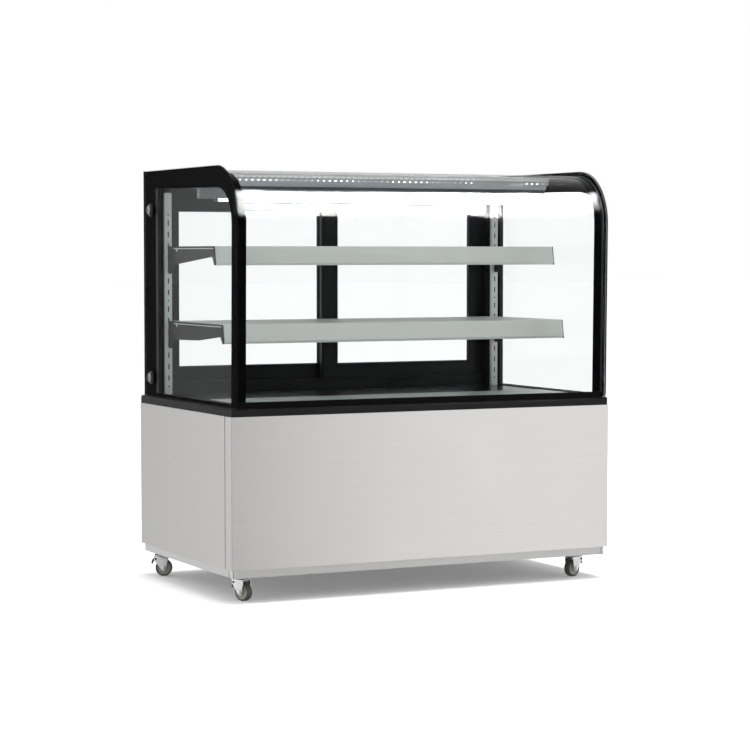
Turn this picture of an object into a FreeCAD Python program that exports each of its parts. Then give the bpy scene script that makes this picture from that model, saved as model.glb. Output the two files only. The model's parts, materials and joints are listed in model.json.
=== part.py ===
"""Refrigerated bakery display case: curved front glass, two shelves, rear sliding doors.

The frame: Z = 0 is the floor, the customer stands on the -Y side, staff open the doors
from the +Y side, and X = 0 is the middle of the case. Millimetres throughout.
"""
import FreeCAD, Part
import math
import os
import re

import Sketcher

V = FreeCAD.Vector
LEFT = -1
RIGHT = 1

# Driving dimensions. Every place along X is measured from the middle of the case, every
# place along Y from the same origin, and every height from the floor.
DIMENSIONS = {
    # whole case
    "half_width": 600,
    "case_height": 1200,
    "base_front": -342.5,
    "base_rear": 357.5,
    "plinth_bottom": 69,
    "panel_bottom": 92,
    "panel_top": 512,
    "trim_top": 535,
    "sheet_gauge": 1.2,
    # base
    "plinth_inset": 8,
    "plinth_inset_front": 10,
    "tray_gauge": 2,
    "corner_return": 45,
    "corner_seam": 5,
    "flange_width": 15,
    "post_outer": 584,
    "post_inner": 560,
    "rail_depth": 20,
    "post_depth": 40,
    "tube_wall": 2,
    "rear_panel_face": 346,
    "trim_inset": 2,
    "trim_round": 7,
    "trim_inner_side": 562,
    "trim_inner_front": -322,
    "louvre_bottom": 120,
    "louvre_pitch": 16,
    "louvre_rise": 6,
    "louvre_inner": 20,
    "louvre_outer": 270,
    "control_left": 325,
    "control_right": 475,
    "control_bottom": 450,
    "control_top": 490,
    "bezel_margin": 5,
    "gland_across": -500,
    "gland_height": 140,
    "gland_radius": 8,
    # insulated tub and what is under it
    "tub_half_width": 560,
    "tub_front": -320,
    "tub_rear": 290,
    "tub_bottom": 395,
    "tub_wall": 40,
    "tub_skin": 3,
    "deck_half_width": 545,
    "deck_front": -315,
    "deck_rear": 245,
    "deck_rise": 7,
    "drain_across": -25,
    "drain_place": -150,
    "drain_foot": 150,
    "drain_radius": 10,
    "drain_bore": 7,
    "pipe_way_left": -465,
    "pipe_way_right": -415,
    "pipe_way_front": 65,
    "pipe_way_rear": 135,
    "air_slot_left": -500,
    "air_slot_pitch": 112.5,
    "air_slot_length": 100,
    "air_slot_width": 12,
    "coil_front": 60,
    "coil_rear": 150,
    "coil_left": -400,
    "coil_right": 120,
    "coil_rise": 80,
    "fin_pitch": 10,
    "fin_gauge": 0.8,
    "coil_tube": 4,
    "condenser_front": 245,
    "condenser_rear": 300,
    "condenser_width": 280,
    "condenser_top": 340,
    "compressor_place": -250,
    "compressor_depth": 80,
    "compressor_radius": 75,
    "compressor_top": 300,
    "compressor_wall": 12,
    "compressor_mouth": 50,
    "compressor_foot_top": 100,
    "compressor_plate_top": 104,
    "drip_left": -150,
    "drip_right": 100,
    "drip_front": -250,
    "drip_rear": -60,
    "drip_rise": 46,
    "drip_wall": 2,
    # glass
    "pane_face": 587,
    "pane_glass": 5,
    "pane_gap": 12,
    "pane_foot": -350.375,
    "pane_lean": 0.014,
    "pane_toe_round": 12,
    "bend_radius": 155,
    "front_recess": 14,
    "front_gauge": 6,
    "front_channel_rise": 16,
    "inner_recess": 24,
    "spacer_width": 8,
    "inner_pane_rear": 262,
    "top_joint": -46,
    # rear frame and doors
    "post_face": 543,
    "post_front": 263,
    "track_front": 296,
    "track_rear": 353,
    "track_wall": 6,
    "track_middle": 5,
    "track_slot": 20,
    "sill_floor": 566,
    "sill_top": 574,
    "header_bottom": 1082,
    "header_lip": 1100,
    "header_ceiling": 1130,
    "door_edge": 541,
    "door_overlap": 28,
    "door_thickness": 16,
    "door_bottom": 568,
    "door_top": 1118,
    "door_stile": 53,
    "door_bottom_rail": 48,
    "door_top_rail": 34,
    "door_glass": 5,
    "glass_engagement": 8,
    "pull_height": 110,
    "pull_width": 24,
    "pull_depth": 8,
    # lamps
    "lamp_front": -62,
    "lamp_rear": 25,
    "lamp_slope_top": -42,
    "lamp_slope_foot": -36,
    "lamp_leg_front": -26,
    "lamp_leg_rear": -8,
    "lamp_wall": 3,
    "lamp_half_width": 563,
    "lamp_bottom": 1140,
    "lamp_leg_bottom": 1112,
    "strip_half_width": 505,
    # shelves
    "upper_shelf_top": 977,
    "upper_shelf_front": -106,
    "lower_shelf_top": 758,
    "lower_shelf_front": -164,
    "shelf_rear": 245,
    "shelf_half_width": 545,
    "shelf_gauge": 1.5,
    "fascia_drop": 54,
    "fascia_lean": 10,
    "fascia_lip": 12,
    "hem_rise": 7,
    "hem_depth": 5,
    "shelf_rear_flange": 20,
    "upright_place": 550,
    "upright_width": 21,
    "upright_depth": 12,
    "upright_gauge": 1.5,
    "upright_front": 251,
    "upright_top": 1134,
    "slot_first": 589,
    "slot_pitch": 34,
    "screw_pitch": 253,
    "screw_gap": 24.5,
    "slot_length": 16,
    "slot_width": 4,
    "bracket_gauge": 2.5,
    "bracket_ledge": 530,
    "bracket_tab": 80,
    "bracket_tip": 2,
    "bracket_nose": 9,
    "bracket_root": 46,
    "hook_drop": 33,
    # glass fixings
    "fixing_place": 294,
    "fixing_upper": 1084,
    "fixing_lower": 590,
    "collar_radius": 19,
    "collar_rise": 6,
    "cap_radius": 15,
    "cap_rise": 11,
    # casters
    "caster_trail": 12,
    "wheel_radius": 25,
    "wheel_half_width": 10,
    "hub_half_width": 12,
    "axle_radius": 4,
    "running_gap": 0.05,
    "fork_half_width": 17,
    "fork_gauge": 2.5,
    "fork_top": 60.5,
    "swivel_top": 69.5,
    "brake_pin_place": -11,
    "brake_pin_rise": 52,
    "brake_pin_radius": 2,
    "cup_radius": 16,
    "plate_half_width": 20,
    "plate_gauge": 2.5,
}

SLOT_GROUPS = 2
SLOTS_IN_GROUP = 7
LOUVRE_COUNT = 14
AIR_SLOT_COUNT = 9
EVAPORATOR_FINS = 53
CONDENSER_FINS = 29
FAN_BLADES = 5
BLADE_GAUGE = 1.5
BLADE_PITCH = 20
PIPES = {
    # name: radius and the corners that the pipe runs through
    "discharge_pipe": (4, [(-175, 80, 230), (-40, 80, 230), (-40, 272, 230), (-2, 272, 230)]),
    "liquid_pipe": (
        3,
        [(-2, 280, 150), (-440, 280, 150), (-440, 120, 150), (-440, 120, 490), (-402, 120, 490)],
    ),
    "suction_pipe": (5, [(-325, 80, 250), (-440, 80, 250), (-440, 80, 465), (-402, 80, 465)]),
}
SWITCHES = {
    # name: middle of the rocker along X
    "light_switch": 345,
    "power_switch": 375,
}
BRAKE_LEVER = [
    # section of the toe lever: along the fork's heading, and height
    (-7, 56),
    (-16, 56),
    (-23, 48),
    (-24, 37),
    (-20, 36),
    (-18, 44),
    (-12, 47),
    (-7, 49),
]
CASTERS = {
    # name: pivot along X, pivot along Y, heading of the trailing wheel in degrees
    "front_left": (-545, -272, -66),
    "front_right": (534, -266, -163),
    "rear_left": (-570, 281, -26),
    "rear_right": (570, 281, 205),
}

os.makedirs("parts", exist_ok=True)
doc = FreeCAD.newDocument("bakery_display_case")
sheet = doc.addObject("Spreadsheet::Sheet", "dims")
for row, (alias, number) in enumerate(DIMENSIONS.items(), start=1):
    sheet.set(f"A{row}", alias)
    sheet.set(f"B{row}", str(number))
    sheet.setAlias(f"B{row}", alias)
doc.recompute()

nodes = {}


# ---------------------------------------------------------------- helpers


def bound(formula):
    """Turn a formula of bare dimension names into an expression on the sheet."""

    def qualified(match):
        word = match.group()
        return f"dims.{word}" if word in DIMENSIONS else word

    return re.sub(r"[a-z][a-z_]+", qualified, str(formula))


def node(name, item):
    """Register a finished sub-part under the name that its file gets."""
    item.Label = name
    nodes[name] = item
    return item


def place(item, x=0, y=0, z=0, rotation=FreeCAD.Rotation()):
    """Put an object at a place given by three formulas, turned by a rotation."""
    item.Placement = FreeCAD.Placement(V(0, 0, 0), rotation)
    for axis, formula in (("x", x), ("y", y), ("z", z)):
        item.setExpression(f"Placement.Base.{axis}", bound(formula))
    return item


def box(name, low, high):
    """A block between two opposite corners, each given as three formulas."""
    block = doc.addObject("Part::Box", name)
    for side, first, last in zip(("Length", "Width", "Height"), low, high):
        block.setExpression(side, bound(f"({last}) - ({first})"))
    return place(block, *low)


def cylinder(name, radius, length, start, direction=V(0, 0, 1)):
    """A round bar that starts at three formulas and runs along a direction."""
    bar = doc.addObject("Part::Cylinder", name)
    bar.setExpression("Radius", bound(radius))
    bar.setExpression("Height", bound(length))
    return place(bar, *start, rotation=FreeCAD.Rotation(V(0, 0, 1), direction))


def tube(name, low, high, along, wall="tube_wall"):
    """A box section, open at both ends along one axis."""
    inner_low = []
    inner_high = []
    for axis, first, last in zip("xyz", low, high):
        inner_low.append(first if axis == along else f"{first} + {wall}")
        inner_high.append(last if axis == along else f"{last} - {wall}")
    blank = box(f"{name}_blank", low, high)
    bore = box(f"{name}_bore", inner_low, inner_high)
    return cut(name, blank, [bore])


def group(name, members):
    """Several separate solids kept together as one object."""
    together = doc.addObject("Part::Compound", name)
    together.Links = members
    return together


def fuse(name, members):
    """One solid made of members that touch or overlap."""
    whole = doc.addObject("Part::MultiFuse", name)
    whole.Shapes = members
    whole.Refine = True
    return whole


def cut(name, blank, tools):
    """What is left of a blank after every tool is taken out of it."""
    result = doc.addObject("Part::Cut", name)
    result.Base = blank
    result.Tool = tools[0] if len(tools) == 1 else group(f"{name}_tools", tools)
    return result


def outline_sketch(body, plane, corners):
    """A closed outline on one of the body's origin planes; each corner follows two formulas."""
    sketch = body.newObject("Sketcher::SketchObject", f"{body.Name}_outline")
    origin = [item for item in body.Origin.OriginFeatures if item.Role == f"{plane}_Plane"]
    sketch.AttachmentSupport = [(origin[0], "")]
    sketch.MapMode = "FlatFace"
    count = len(corners)
    turn = 2 * math.pi / count
    rough = [V(math.cos(turn * index), math.sin(turn * index), 0) for index in range(count)]
    for index in range(count):
        sketch.addGeometry(Part.LineSegment(rough[index], rough[(index + 1) % count]), False)
    for index in range(count):
        following = (index + 1) % count
        sketch.addConstraint(Sketcher.Constraint("Coincident", index, 2, following, 1))
    for index, (across, up) in enumerate(corners):
        corner = rough[index]
        for kind, start, formula in (("DistanceX", corner.x, across), ("DistanceY", corner.y, up)):
            number = sketch.addConstraint(Sketcher.Constraint(kind, -1, 1, index, 1, start))
            sketch.setExpression(f"Constraints[{number}]", bound(formula))
    doc.recompute()
    return sketch


def edges_at(shape, plane, corner):
    """Names of the straight edges that stand on one corner of the outline."""
    ways = {"YZ": lambda p: (p.y, p.z), "XZ": lambda p: (p.x, p.z), "XY": lambda p: (p.x, p.y)}
    flat = ways[plane]
    found = []
    for number, edge in enumerate(shape.Edges, start=1):
        ends = [flat(vertex.Point) for vertex in edge.Vertexes]
        if len(ends) == 2 and all(math.dist(end, (corner.x, corner.y)) < 0.001 for end in ends):
            found.append(f"Edge{number}")
    return found


def profile(name, plane, corners, start, stop, rounds=None):
    """A body of constant section along the axis that its plane leaves out.

    rounds gives the radius formula of each corner that is rounded, by the corner's index.
    """
    body = doc.addObject("PartDesign::Body", name)
    sketch = outline_sketch(body, plane, corners)
    pad = body.newObject("PartDesign::Pad", f"{name}_pad")
    pad.Profile = sketch
    pad.setExpression("Length", bound(f"({stop}) - ({start})"))
    pad.Reversed = plane == "XZ"
    doc.recompute()
    last = pad
    for index, radius in (rounds or {}).items():
        fillet = body.newObject("PartDesign::Fillet", f"{name}_round_{index}")
        fillet.Base = (last, edges_at(last.Shape, plane, sketch.Geometry[index].StartPoint))
        fillet.setExpression("Radius", bound(radius))
        doc.recompute()
        last = fillet
    body.Tip = last
    axis = {"YZ": "x", "XZ": "y", "XY": "z"}[plane]
    return place(body, **{axis: start})


def turned(name, corners, x=0, y=0, z=0, direction=V(0, 0, 1)):
    """A body turned about its own Z axis: each corner is a radius and a place along the axis."""
    body = doc.addObject("PartDesign::Body", name)
    sketch = outline_sketch(body, "XZ", corners)
    spin = body.newObject("PartDesign::Revolution", f"{name}_turn")
    spin.Profile = sketch
    spin.ReferenceAxis = (sketch, ["V_Axis"])
    spin.Angle = 360
    body.Tip = spin
    doc.recompute()
    return place(body, x, y, z, FreeCAD.Rotation(V(0, 0, 1), direction))


def both_sides(name, make):
    """One node of two solids, made by the same function on the left and on the right."""
    return node(name, group(name, [make(LEFT, f"{name}_left"), make(RIGHT, f"{name}_right")]))


def spread(side, inner, outer):
    """Low and high X formulas of something between two distances from the middle."""
    if side == RIGHT:
        return inner, outer
    return f"-({outer})", f"-({inner})"


# ---------------------------------------------------------------- base


def chassis_pan():
    """An upturned tray: its rim is the plinth and its floor carries the machinery."""
    blank = box(
        "chassis_blank",
        ("plinth_inset - half_width", "base_front + plinth_inset_front", "plinth_bottom"),
        ("half_width - plinth_inset", "base_rear - plinth_inset_front", "panel_bottom"),
    )
    inner_side = "plinth_inset + tray_gauge"
    inner_end = "plinth_inset_front + tray_gauge"
    hollow = box(
        "chassis_hollow",
        (f"{inner_side} - half_width", f"base_front + {inner_end}", "plinth_bottom - 1"),
        (f"half_width - ({inner_side})", f"base_rear - ({inner_end})", "panel_bottom - tray_gauge"),
    )
    return node("chassis_pan", cut("chassis_pan", blank, [hollow]))


def base_frame():
    """Box-section posts behind the panels, joined by rails at the top and under the tub."""
    rail_top = "panel_top - sheet_gauge"
    front_post = "base_front + flange_width + 1"
    rear_post_front = "tub_rear + 10"
    members = []
    for side, label in ((LEFT, "left"), (RIGHT, "right")):
        low, high = spread(side, "post_inner", "post_outer")
        for end, front in (("front", front_post), ("rear", rear_post_front)):
            members.append(
                tube(
                    f"post_{end}_{label}",
                    (low, front, "panel_bottom"),
                    (high, f"{front} + post_depth", rail_top),
                    "z",
                )
            )
        members.append(
            tube(
                f"side_rail_{label}",
                (low, f"{front_post} + post_depth", f"{rail_top} - rail_depth"),
                (high, rear_post_front, rail_top),
                "y",
            )
        )
        members.append(
            tube(
                f"tub_rail_{label}",
                (low, f"{front_post} + post_depth", "tub_bottom - rail_depth"),
                (high, rear_post_front, "tub_bottom"),
                "y",
            )
        )
    for label, front in (("front", "tub_front + 60"), ("rear", "tub_rear - 80")):
        members.append(
            tube(
                f"cross_rail_{label}",
                ("-post_inner", front, "tub_bottom - rail_depth"),
                ("post_inner", f"{front} + rail_depth", "tub_bottom"),
                "x",
            )
        )
    members.append(
        tube(
            "top_rail",
            ("-post_inner", rear_post_front, f"{rail_top} - rail_depth"),
            ("post_inner", "rear_panel_face - sheet_gauge", "trim_top"),
            "x",
        )
    )
    return node("base_frame", fuse("base_frame", members))


def front_panel():
    """A shallow stainless pan whose returns wrap round both front corners."""
    blank = box(
        "front_panel_blank",
        ("-half_width", "base_front", "panel_bottom"),
        ("half_width", "base_front + corner_return", "panel_top"),
    )
    hollow = box(
        "front_panel_hollow",
        ("sheet_gauge - half_width", "base_front + sheet_gauge", "panel_bottom + sheet_gauge"),
        ("half_width - sheet_gauge", "base_front + corner_return + 1", "panel_top - sheet_gauge"),
    )
    plate_room = box(
        "front_panel_flange_room",
        ("flange_width - half_width", "base_front + flange_width", "panel_bottom - 1"),
        ("half_width - flange_width", "base_front + corner_return + 1", "panel_top + 1"),
    )
    tools = fuse("front_panel_room", [hollow, plate_room])
    return node("front_panel", cut("front_panel", blank, [tools]))


def side_panel(side, name):
    """A stainless pan with a narrow flange all round, open towards the inside."""
    low, high = spread(side, "half_width - flange_width", "half_width")
    inner_low, inner_high = spread(side, "half_width - flange_width - 1", "half_width - sheet_gauge")
    front = "base_front + corner_return + corner_seam"
    blank = box(f"{name}_blank", (low, front, "panel_bottom"), (high, "base_rear", "panel_top"))
    hollow = box(
        f"{name}_hollow",
        (inner_low, f"{front} + sheet_gauge", "panel_bottom + sheet_gauge"),
        (inner_high, "base_rear - sheet_gauge", "panel_top - sheet_gauge"),
    )
    return node(name, cut(name, blank, [hollow]))


def rear_panel():
    """The rear cover, with a field of louvre slots before the condenser."""
    face = "rear_panel_face"
    blank = box(
        "rear_panel_blank",
        ("-post_outer", f"{face} - sheet_gauge", "panel_bottom"),
        ("post_outer", face, "panel_top"),
    )
    before = f"{face} - 5"
    behind = f"{face} + 5"
    gland_start = ("gland_across", before, "gland_height")
    tools = [
        box(
            "control_opening",
            ("control_left", before, "control_bottom"),
            ("control_right", behind, "control_top"),
        ),
        cylinder("gland_hole", "gland_radius + 0.1", 10, gland_start, V(0, 1, 0)),
    ]
    for index in range(LOUVRE_COUNT):
        height = f"louvre_bottom + {index} * louvre_pitch"
        for side, label in ((LEFT, "left"), (RIGHT, "right")):
            low, high = spread(side, "louvre_inner", "louvre_outer")
            tools.append(
                box(
                    f"louvre_{label}_{index}",
                    (low, before, height),
                    (high, behind, f"{height} + louvre_rise"),
                )
            )
    return node("rear_panel", cut("rear_panel", blank, tools))


def front_trim():
    """The black extrusion over the front panel, with its outer edge rounded."""
    front = "base_front + trim_inset"
    corners = [
        (front, "panel_top"),
        (front, "trim_top"),
        ("trim_inner_front", "trim_top"),
        ("trim_inner_front", "panel_top"),
    ]
    ends = ("trim_inset - half_width", "half_width - trim_inset")
    return node("front_trim", profile("front_trim", "YZ", corners, *ends, rounds={1: "trim_round"}))


def side_trim(side, name):
    """The same extrusion along one side, behind the front one."""
    outer = f"{side} * (half_width - trim_inset)"
    inner = f"{side} * trim_inner_side"
    corners = [(outer, "panel_top"), (outer, "trim_top"), (inner, "trim_top"), (inner, "panel_top")]
    return profile(name, "XZ", corners, "trim_inner_front", "base_rear", rounds={1: "trim_round"})


# ---------------------------------------------------------------- cold tub and machinery


def tub_floor(name, inset, low, high):
    """A level sheet across the tub, inset from its outer faces."""
    left, right = f"{inset} - tub_half_width", f"tub_half_width - ({inset})"
    return box(name, (left, f"tub_front + {inset}", low), (right, f"tub_rear - ({inset})", high))


def tub_ring(name, inset, breadth, low, high):
    """Four strips round the tub, inset from its outer faces and meeting at the corners."""
    outer, inner = f"tub_half_width - ({inset})", f"tub_half_width - ({inset}) - ({breadth})"
    front, rear = f"tub_front + {inset}", f"tub_rear - ({inset})"
    side_front, side_rear = f"{front} + {breadth}", f"{rear} - ({breadth})"
    return [
        box(f"{name}_front", (f"-({outer})", front, low), (outer, side_front, high)),
        box(f"{name}_rear", (f"-({outer})", side_rear, low), (outer, rear, high)),
        box(f"{name}_left", (f"-({outer})", side_front, low), (f"-({inner})", side_rear, high)),
        box(f"{name}_right", (inner, side_front, low), (outer, side_rear, high)),
    ]


def insulated_tub():
    """The sheets of the tub's liner and outer skin, its rim, and the drain spout."""
    floor = "tub_bottom + tub_wall"
    liner_inset = "tub_wall - tub_skin"
    under_floor = f"{floor} - tub_skin"
    under_rim = "trim_top - tub_skin"
    above_foot = ("drain_across", "drain_place", "drain_foot")
    below_foot = ("drain_across", "drain_place", "drain_foot - 10")
    spout = cylinder("drain_spout_blank", "drain_radius", f"{under_floor} - drain_foot", above_foot)
    under_tub = ("drain_across", "drain_place", "tub_bottom - 1")
    spout_way = cylinder("spout_way", "drain_radius + 0.5", "tub_skin + 2", under_tub)
    bore = cylinder("drain_hole", "drain_bore", f"{floor} + 20 - drain_foot", below_foot)
    pipe_way = box(
        "pipe_way",
        ("pipe_way_left", "pipe_way_front", "tub_bottom - 1"),
        ("pipe_way_right", "pipe_way_rear", f"{floor} + 1"),
    )
    liner_floor = tub_floor("tub_liner_floor_blank", liner_inset, under_floor, floor)
    outer_floor = tub_floor("tub_outer_floor_blank", "tub_skin", "tub_bottom", "tub_bottom + tub_skin")
    sheets = [
        cut("drain_spout", spout, [bore]),
        cut("tub_liner_floor", liner_floor, [bore, pipe_way]),
        cut("tub_outer_floor", outer_floor, [spout_way, pipe_way]),
    ]
    sheets += tub_ring("tub_liner", liner_inset, "tub_skin", floor, under_rim)
    sheets += tub_ring("tub_outer", "0", "tub_skin", "tub_bottom", "trim_top")
    sheets += tub_ring("tub_rim", "tub_skin", liner_inset, under_rim, "trim_top")
    return node("insulated_tub", group("insulated_tub", sheets))


def deck_plate():
    """The stainless deck, an upturned tray that lifts off the rim of the tub."""
    blank = box(
        "deck_blank",
        ("-deck_half_width", "deck_front", "trim_top"),
        ("deck_half_width", "deck_rear", "trim_top + deck_rise"),
    )
    hollow = box(
        "deck_hollow",
        ("shelf_gauge - deck_half_width", "deck_front + shelf_gauge", "trim_top - 1"),
        ("deck_half_width - shelf_gauge", "deck_rear - shelf_gauge", "trim_top + deck_rise - shelf_gauge"),
    )
    tools = [hollow]
    slot_rows = (
        ("front", "deck_front + air_slot_width"),
        ("rear", "deck_rear - 2 * air_slot_width"),
    )
    for index in range(AIR_SLOT_COUNT):
        left = f"air_slot_left + {index} * air_slot_pitch"
        right = f"{left} + air_slot_length"
        for label, front in slot_rows:
            tools.append(
                box(
                    f"air_slot_{label}_{index}",
                    (left, front, "trim_top + 2"),
                    (right, f"{front} + air_slot_width", "trim_top + deck_rise + 1"),
                )
            )
    room = fuse("deck_room", tools)
    return node("deck_plate", cut("deck_plate", blank, [room]))


def fan(prefix, middle, reach, thickness, hub_radius):
    """A fan blowing towards -Y: a square shroud with its motor, and the turning blades.

    middle gives the X, Y and Z formulas of the centre of the shroud's rear face.
    """
    x, y, z = middle
    along = V(0, 1, 0)
    rim = 8
    shaft_radius = 3
    motor_length = 22
    bar_depth = 4
    bar_half_height = 6
    front = f"({y}) - {thickness}"
    blank = box(
        f"{prefix}_shroud_blank",
        (f"({x}) - {reach}", front, f"({z}) - {reach}"),
        (f"({x}) + {reach}", y, f"({z}) + {reach}"),
    )
    mouth = cylinder(f"{prefix}_mouth", reach - rim, thickness + 2, (x, f"{front} - 1", z), along)
    ring = cut(f"{prefix}_ring", blank, [mouth])
    bar = box(
        f"{prefix}_motor_bar",
        (f"({x}) - {reach}", f"{front} - {bar_depth}", f"({z}) - {bar_half_height}"),
        (f"({x}) + {reach}", front, f"({z}) + {bar_half_height}"),
    )
    motor_start = (x, f"{front} - {motor_length}", z)
    motor = cylinder(f"{prefix}_motor", hub_radius, motor_length, motor_start, along)
    shaft = cylinder(f"{prefix}_shaft", shaft_radius, thickness - 2, (x, front, z), along)
    node(f"{prefix}_shroud", fuse(f"{prefix}_shroud", [ring, bar, motor, shaft]))

    hub_inset = 4
    hub_length = thickness - 2 * hub_inset
    blade_reach = reach - rim - hub_inset
    blade_start = V(-0.25 * blade_reach, 0.5 * hub_length - 2, shaft_radius)
    members = [cylinder(f"{prefix}_hub", hub_radius, hub_length, (0, 0, 0), along)]
    for index in range(FAN_BLADES):
        blade = doc.addObject("Part::Box", f"{prefix}_blade_{index}")
        blade.Length = 0.5 * blade_reach
        blade.Width = BLADE_GAUGE
        blade.Height = blade_reach - shaft_radius
        spin = FreeCAD.Rotation(along, 360 * index / FAN_BLADES)
        pitch = FreeCAD.Rotation(V(0, 0, 1), BLADE_PITCH)
        start = FreeCAD.Placement(blade_start, FreeCAD.Rotation())
        blade.Placement = FreeCAD.Placement(V(0, 0, 0), spin * pitch) * start
        members.append(blade)
    rotor = fuse(f"{prefix}_rotor", members)
    limit = cylinder(f"{prefix}_limit", blade_reach, hub_length, (0, 0, 0), along)
    trimmed = doc.addObject("Part::Common", f"{prefix}_trimmed")
    trimmed.Base = rotor
    trimmed.Tool = limit
    bore_radius = f"{shaft_radius} + running_gap"
    bore = cylinder(f"{prefix}_bore", bore_radius, hub_length + 2, (0, -1, 0), along)
    blades = cut(f"{prefix}_blades", trimmed, [bore])
    place(blades, x, f"{front} + {hub_inset}", z)
    node(f"{prefix}_blades", blades)


def finned_coil(name, low, high, fin_count, rows, levels, foot):
    """Thin fins threaded on straight tubes between two end plates that stand on foot."""
    left, front, bottom = low
    right, rear, top = high
    members = []
    for index in range(fin_count):
        start = f"({left}) + {index} * fin_pitch"
        stop = f"{start} + fin_gauge"
        members.append(box(f"{name}_fin_{index}", (start, front, bottom), (stop, rear, top)))
    for label, start in (("left", f"({left}) - tray_gauge"), ("right", right)):
        stop = f"({start}) + tray_gauge"
        plate_top = f"({top}) + 5"
        members.append(box(f"{name}_plate_{label}", (start, front, foot), (stop, rear, plate_top)))
    length = f"({right}) - ({left}) + 2 * tray_gauge"
    for row in range(rows):
        depth = f"({front}) + (({rear}) - ({front})) * {(row + 0.5) / rows}"
        for level in range(levels):
            height = f"({bottom}) + (({top}) - ({bottom})) * {(level + 0.5) / levels}"
            start = (f"({left}) - tray_gauge", depth, height)
            tube_name = f"{name}_tube_{row}_{level}"
            members.append(cylinder(tube_name, "coil_tube", length, start, V(1, 0, 0)))
    return node(name, fuse(name, members))


def evaporator():
    """The cold coil on the floor of the tub, and the fan beside it."""
    floor = "tub_bottom + tub_wall"
    low = ("coil_left", "coil_front", f"{floor} + 4")
    high = ("coil_right", "coil_rear", f"{floor} + coil_rise")
    finned_coil("evaporator_coil", low, high, EVAPORATOR_FINS, 3, 2, floor)
    fan("evaporator_fan", ("220", "130", f"{floor} + 48"), 48, 30, 16)


def condenser():
    """The warm coil behind the louvres, and the fan that draws air through it."""
    low = ("0", "condenser_front", "panel_bottom + 8")
    high = ("condenser_width", "condenser_rear", "condenser_top")
    finned_coil("condenser_coil", low, high, CONDENSER_FINS, 2, 6, "panel_bottom")
    fan("condenser_fan", ("condenser_width / 2", "condenser_front", "panel_bottom + 124"), 120, 34, 26)


def compressor():
    """A hermetic can on a foot plate with rubber feet."""
    inner_radius = "compressor_radius - compressor_wall"
    can = turned(
        "compressor_can",
        [
            ("compressor_mouth", "compressor_foot_top"),
            (inner_radius, "compressor_plate_top"),
            ("compressor_radius", "compressor_plate_top + 18"),
            ("compressor_radius", "compressor_top - 34"),
            ("compressor_radius - 16", "compressor_top - 8"),
            ("0", "compressor_top"),
            ("0", "compressor_top - compressor_wall"),
            (f"{inner_radius} - compressor_wall", "compressor_top - 20"),
            (inner_radius, "compressor_top - 40"),
            (inner_radius, "compressor_plate_top + 22"),
            ("compressor_mouth", "compressor_foot_top + compressor_wall"),
        ],
        "compressor_place",
        "compressor_depth",
    )
    plate = box(
        "compressor_plate",
        ("compressor_place - 95", "compressor_depth - 60", "compressor_foot_top"),
        ("compressor_place + 95", "compressor_depth + 60", "compressor_plate_top"),
    )
    opening_start = ("compressor_place", "compressor_depth", "compressor_foot_top - 2")
    opening = cylinder("compressor_plate_opening", "compressor_mouth", 10, opening_start)
    members = [can, cut("compressor_foot_plate", plate, [opening])]
    foot_radius = 12
    foot_rise = "compressor_foot_top - panel_bottom"
    for across in (-80, 80):
        for along in (-45, 45):
            start = (f"compressor_place + {across}", f"compressor_depth + {along}", "panel_bottom")
            label = f"compressor_foot_{len(members)}"
            members.append(cylinder(label, foot_radius, foot_rise, start))
    return node("compressor", fuse("compressor", members))


def condensate_pan():
    """The tray on the chassis floor that the drain empties into."""
    blank = box(
        "drip_blank",
        ("drip_left", "drip_front", "panel_bottom"),
        ("drip_right", "drip_rear", "panel_bottom + drip_rise"),
    )
    hollow = box(
        "drip_hollow",
        ("drip_left + drip_wall", "drip_front + drip_wall", "panel_bottom + drip_wall"),
        ("drip_right - drip_wall", "drip_rear - drip_wall", "panel_bottom + drip_rise + 1"),
    )
    return node("condensate_pan", cut("condensate_pan", blank, [hollow]))


def pipe(name, radius, corners):
    """A round pipe through a list of corners, with a ball at each turn."""
    members = []
    for index in range(len(corners) - 1):
        first = V(*corners[index])
        run = V(*corners[index + 1]) - first
        bar = cylinder(f"{name}_run_{index}", radius, run.Length, tuple(first), run)
        members.append(bar)
        if index > 0:
            ball = doc.addObject("Part::Sphere", f"{name}_turn_{index}")
            ball.Radius = radius
            members.append(place(ball, *first))
    return fuse(name, members)


def refrigerant_lines():
    """Discharge, liquid and suction pipes between the compressor and the two coils."""
    lines = [pipe(name, radius, corners) for name, (radius, corners) in PIPES.items()]
    return node("refrigerant_lines", group("refrigerant_lines", lines))


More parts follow.
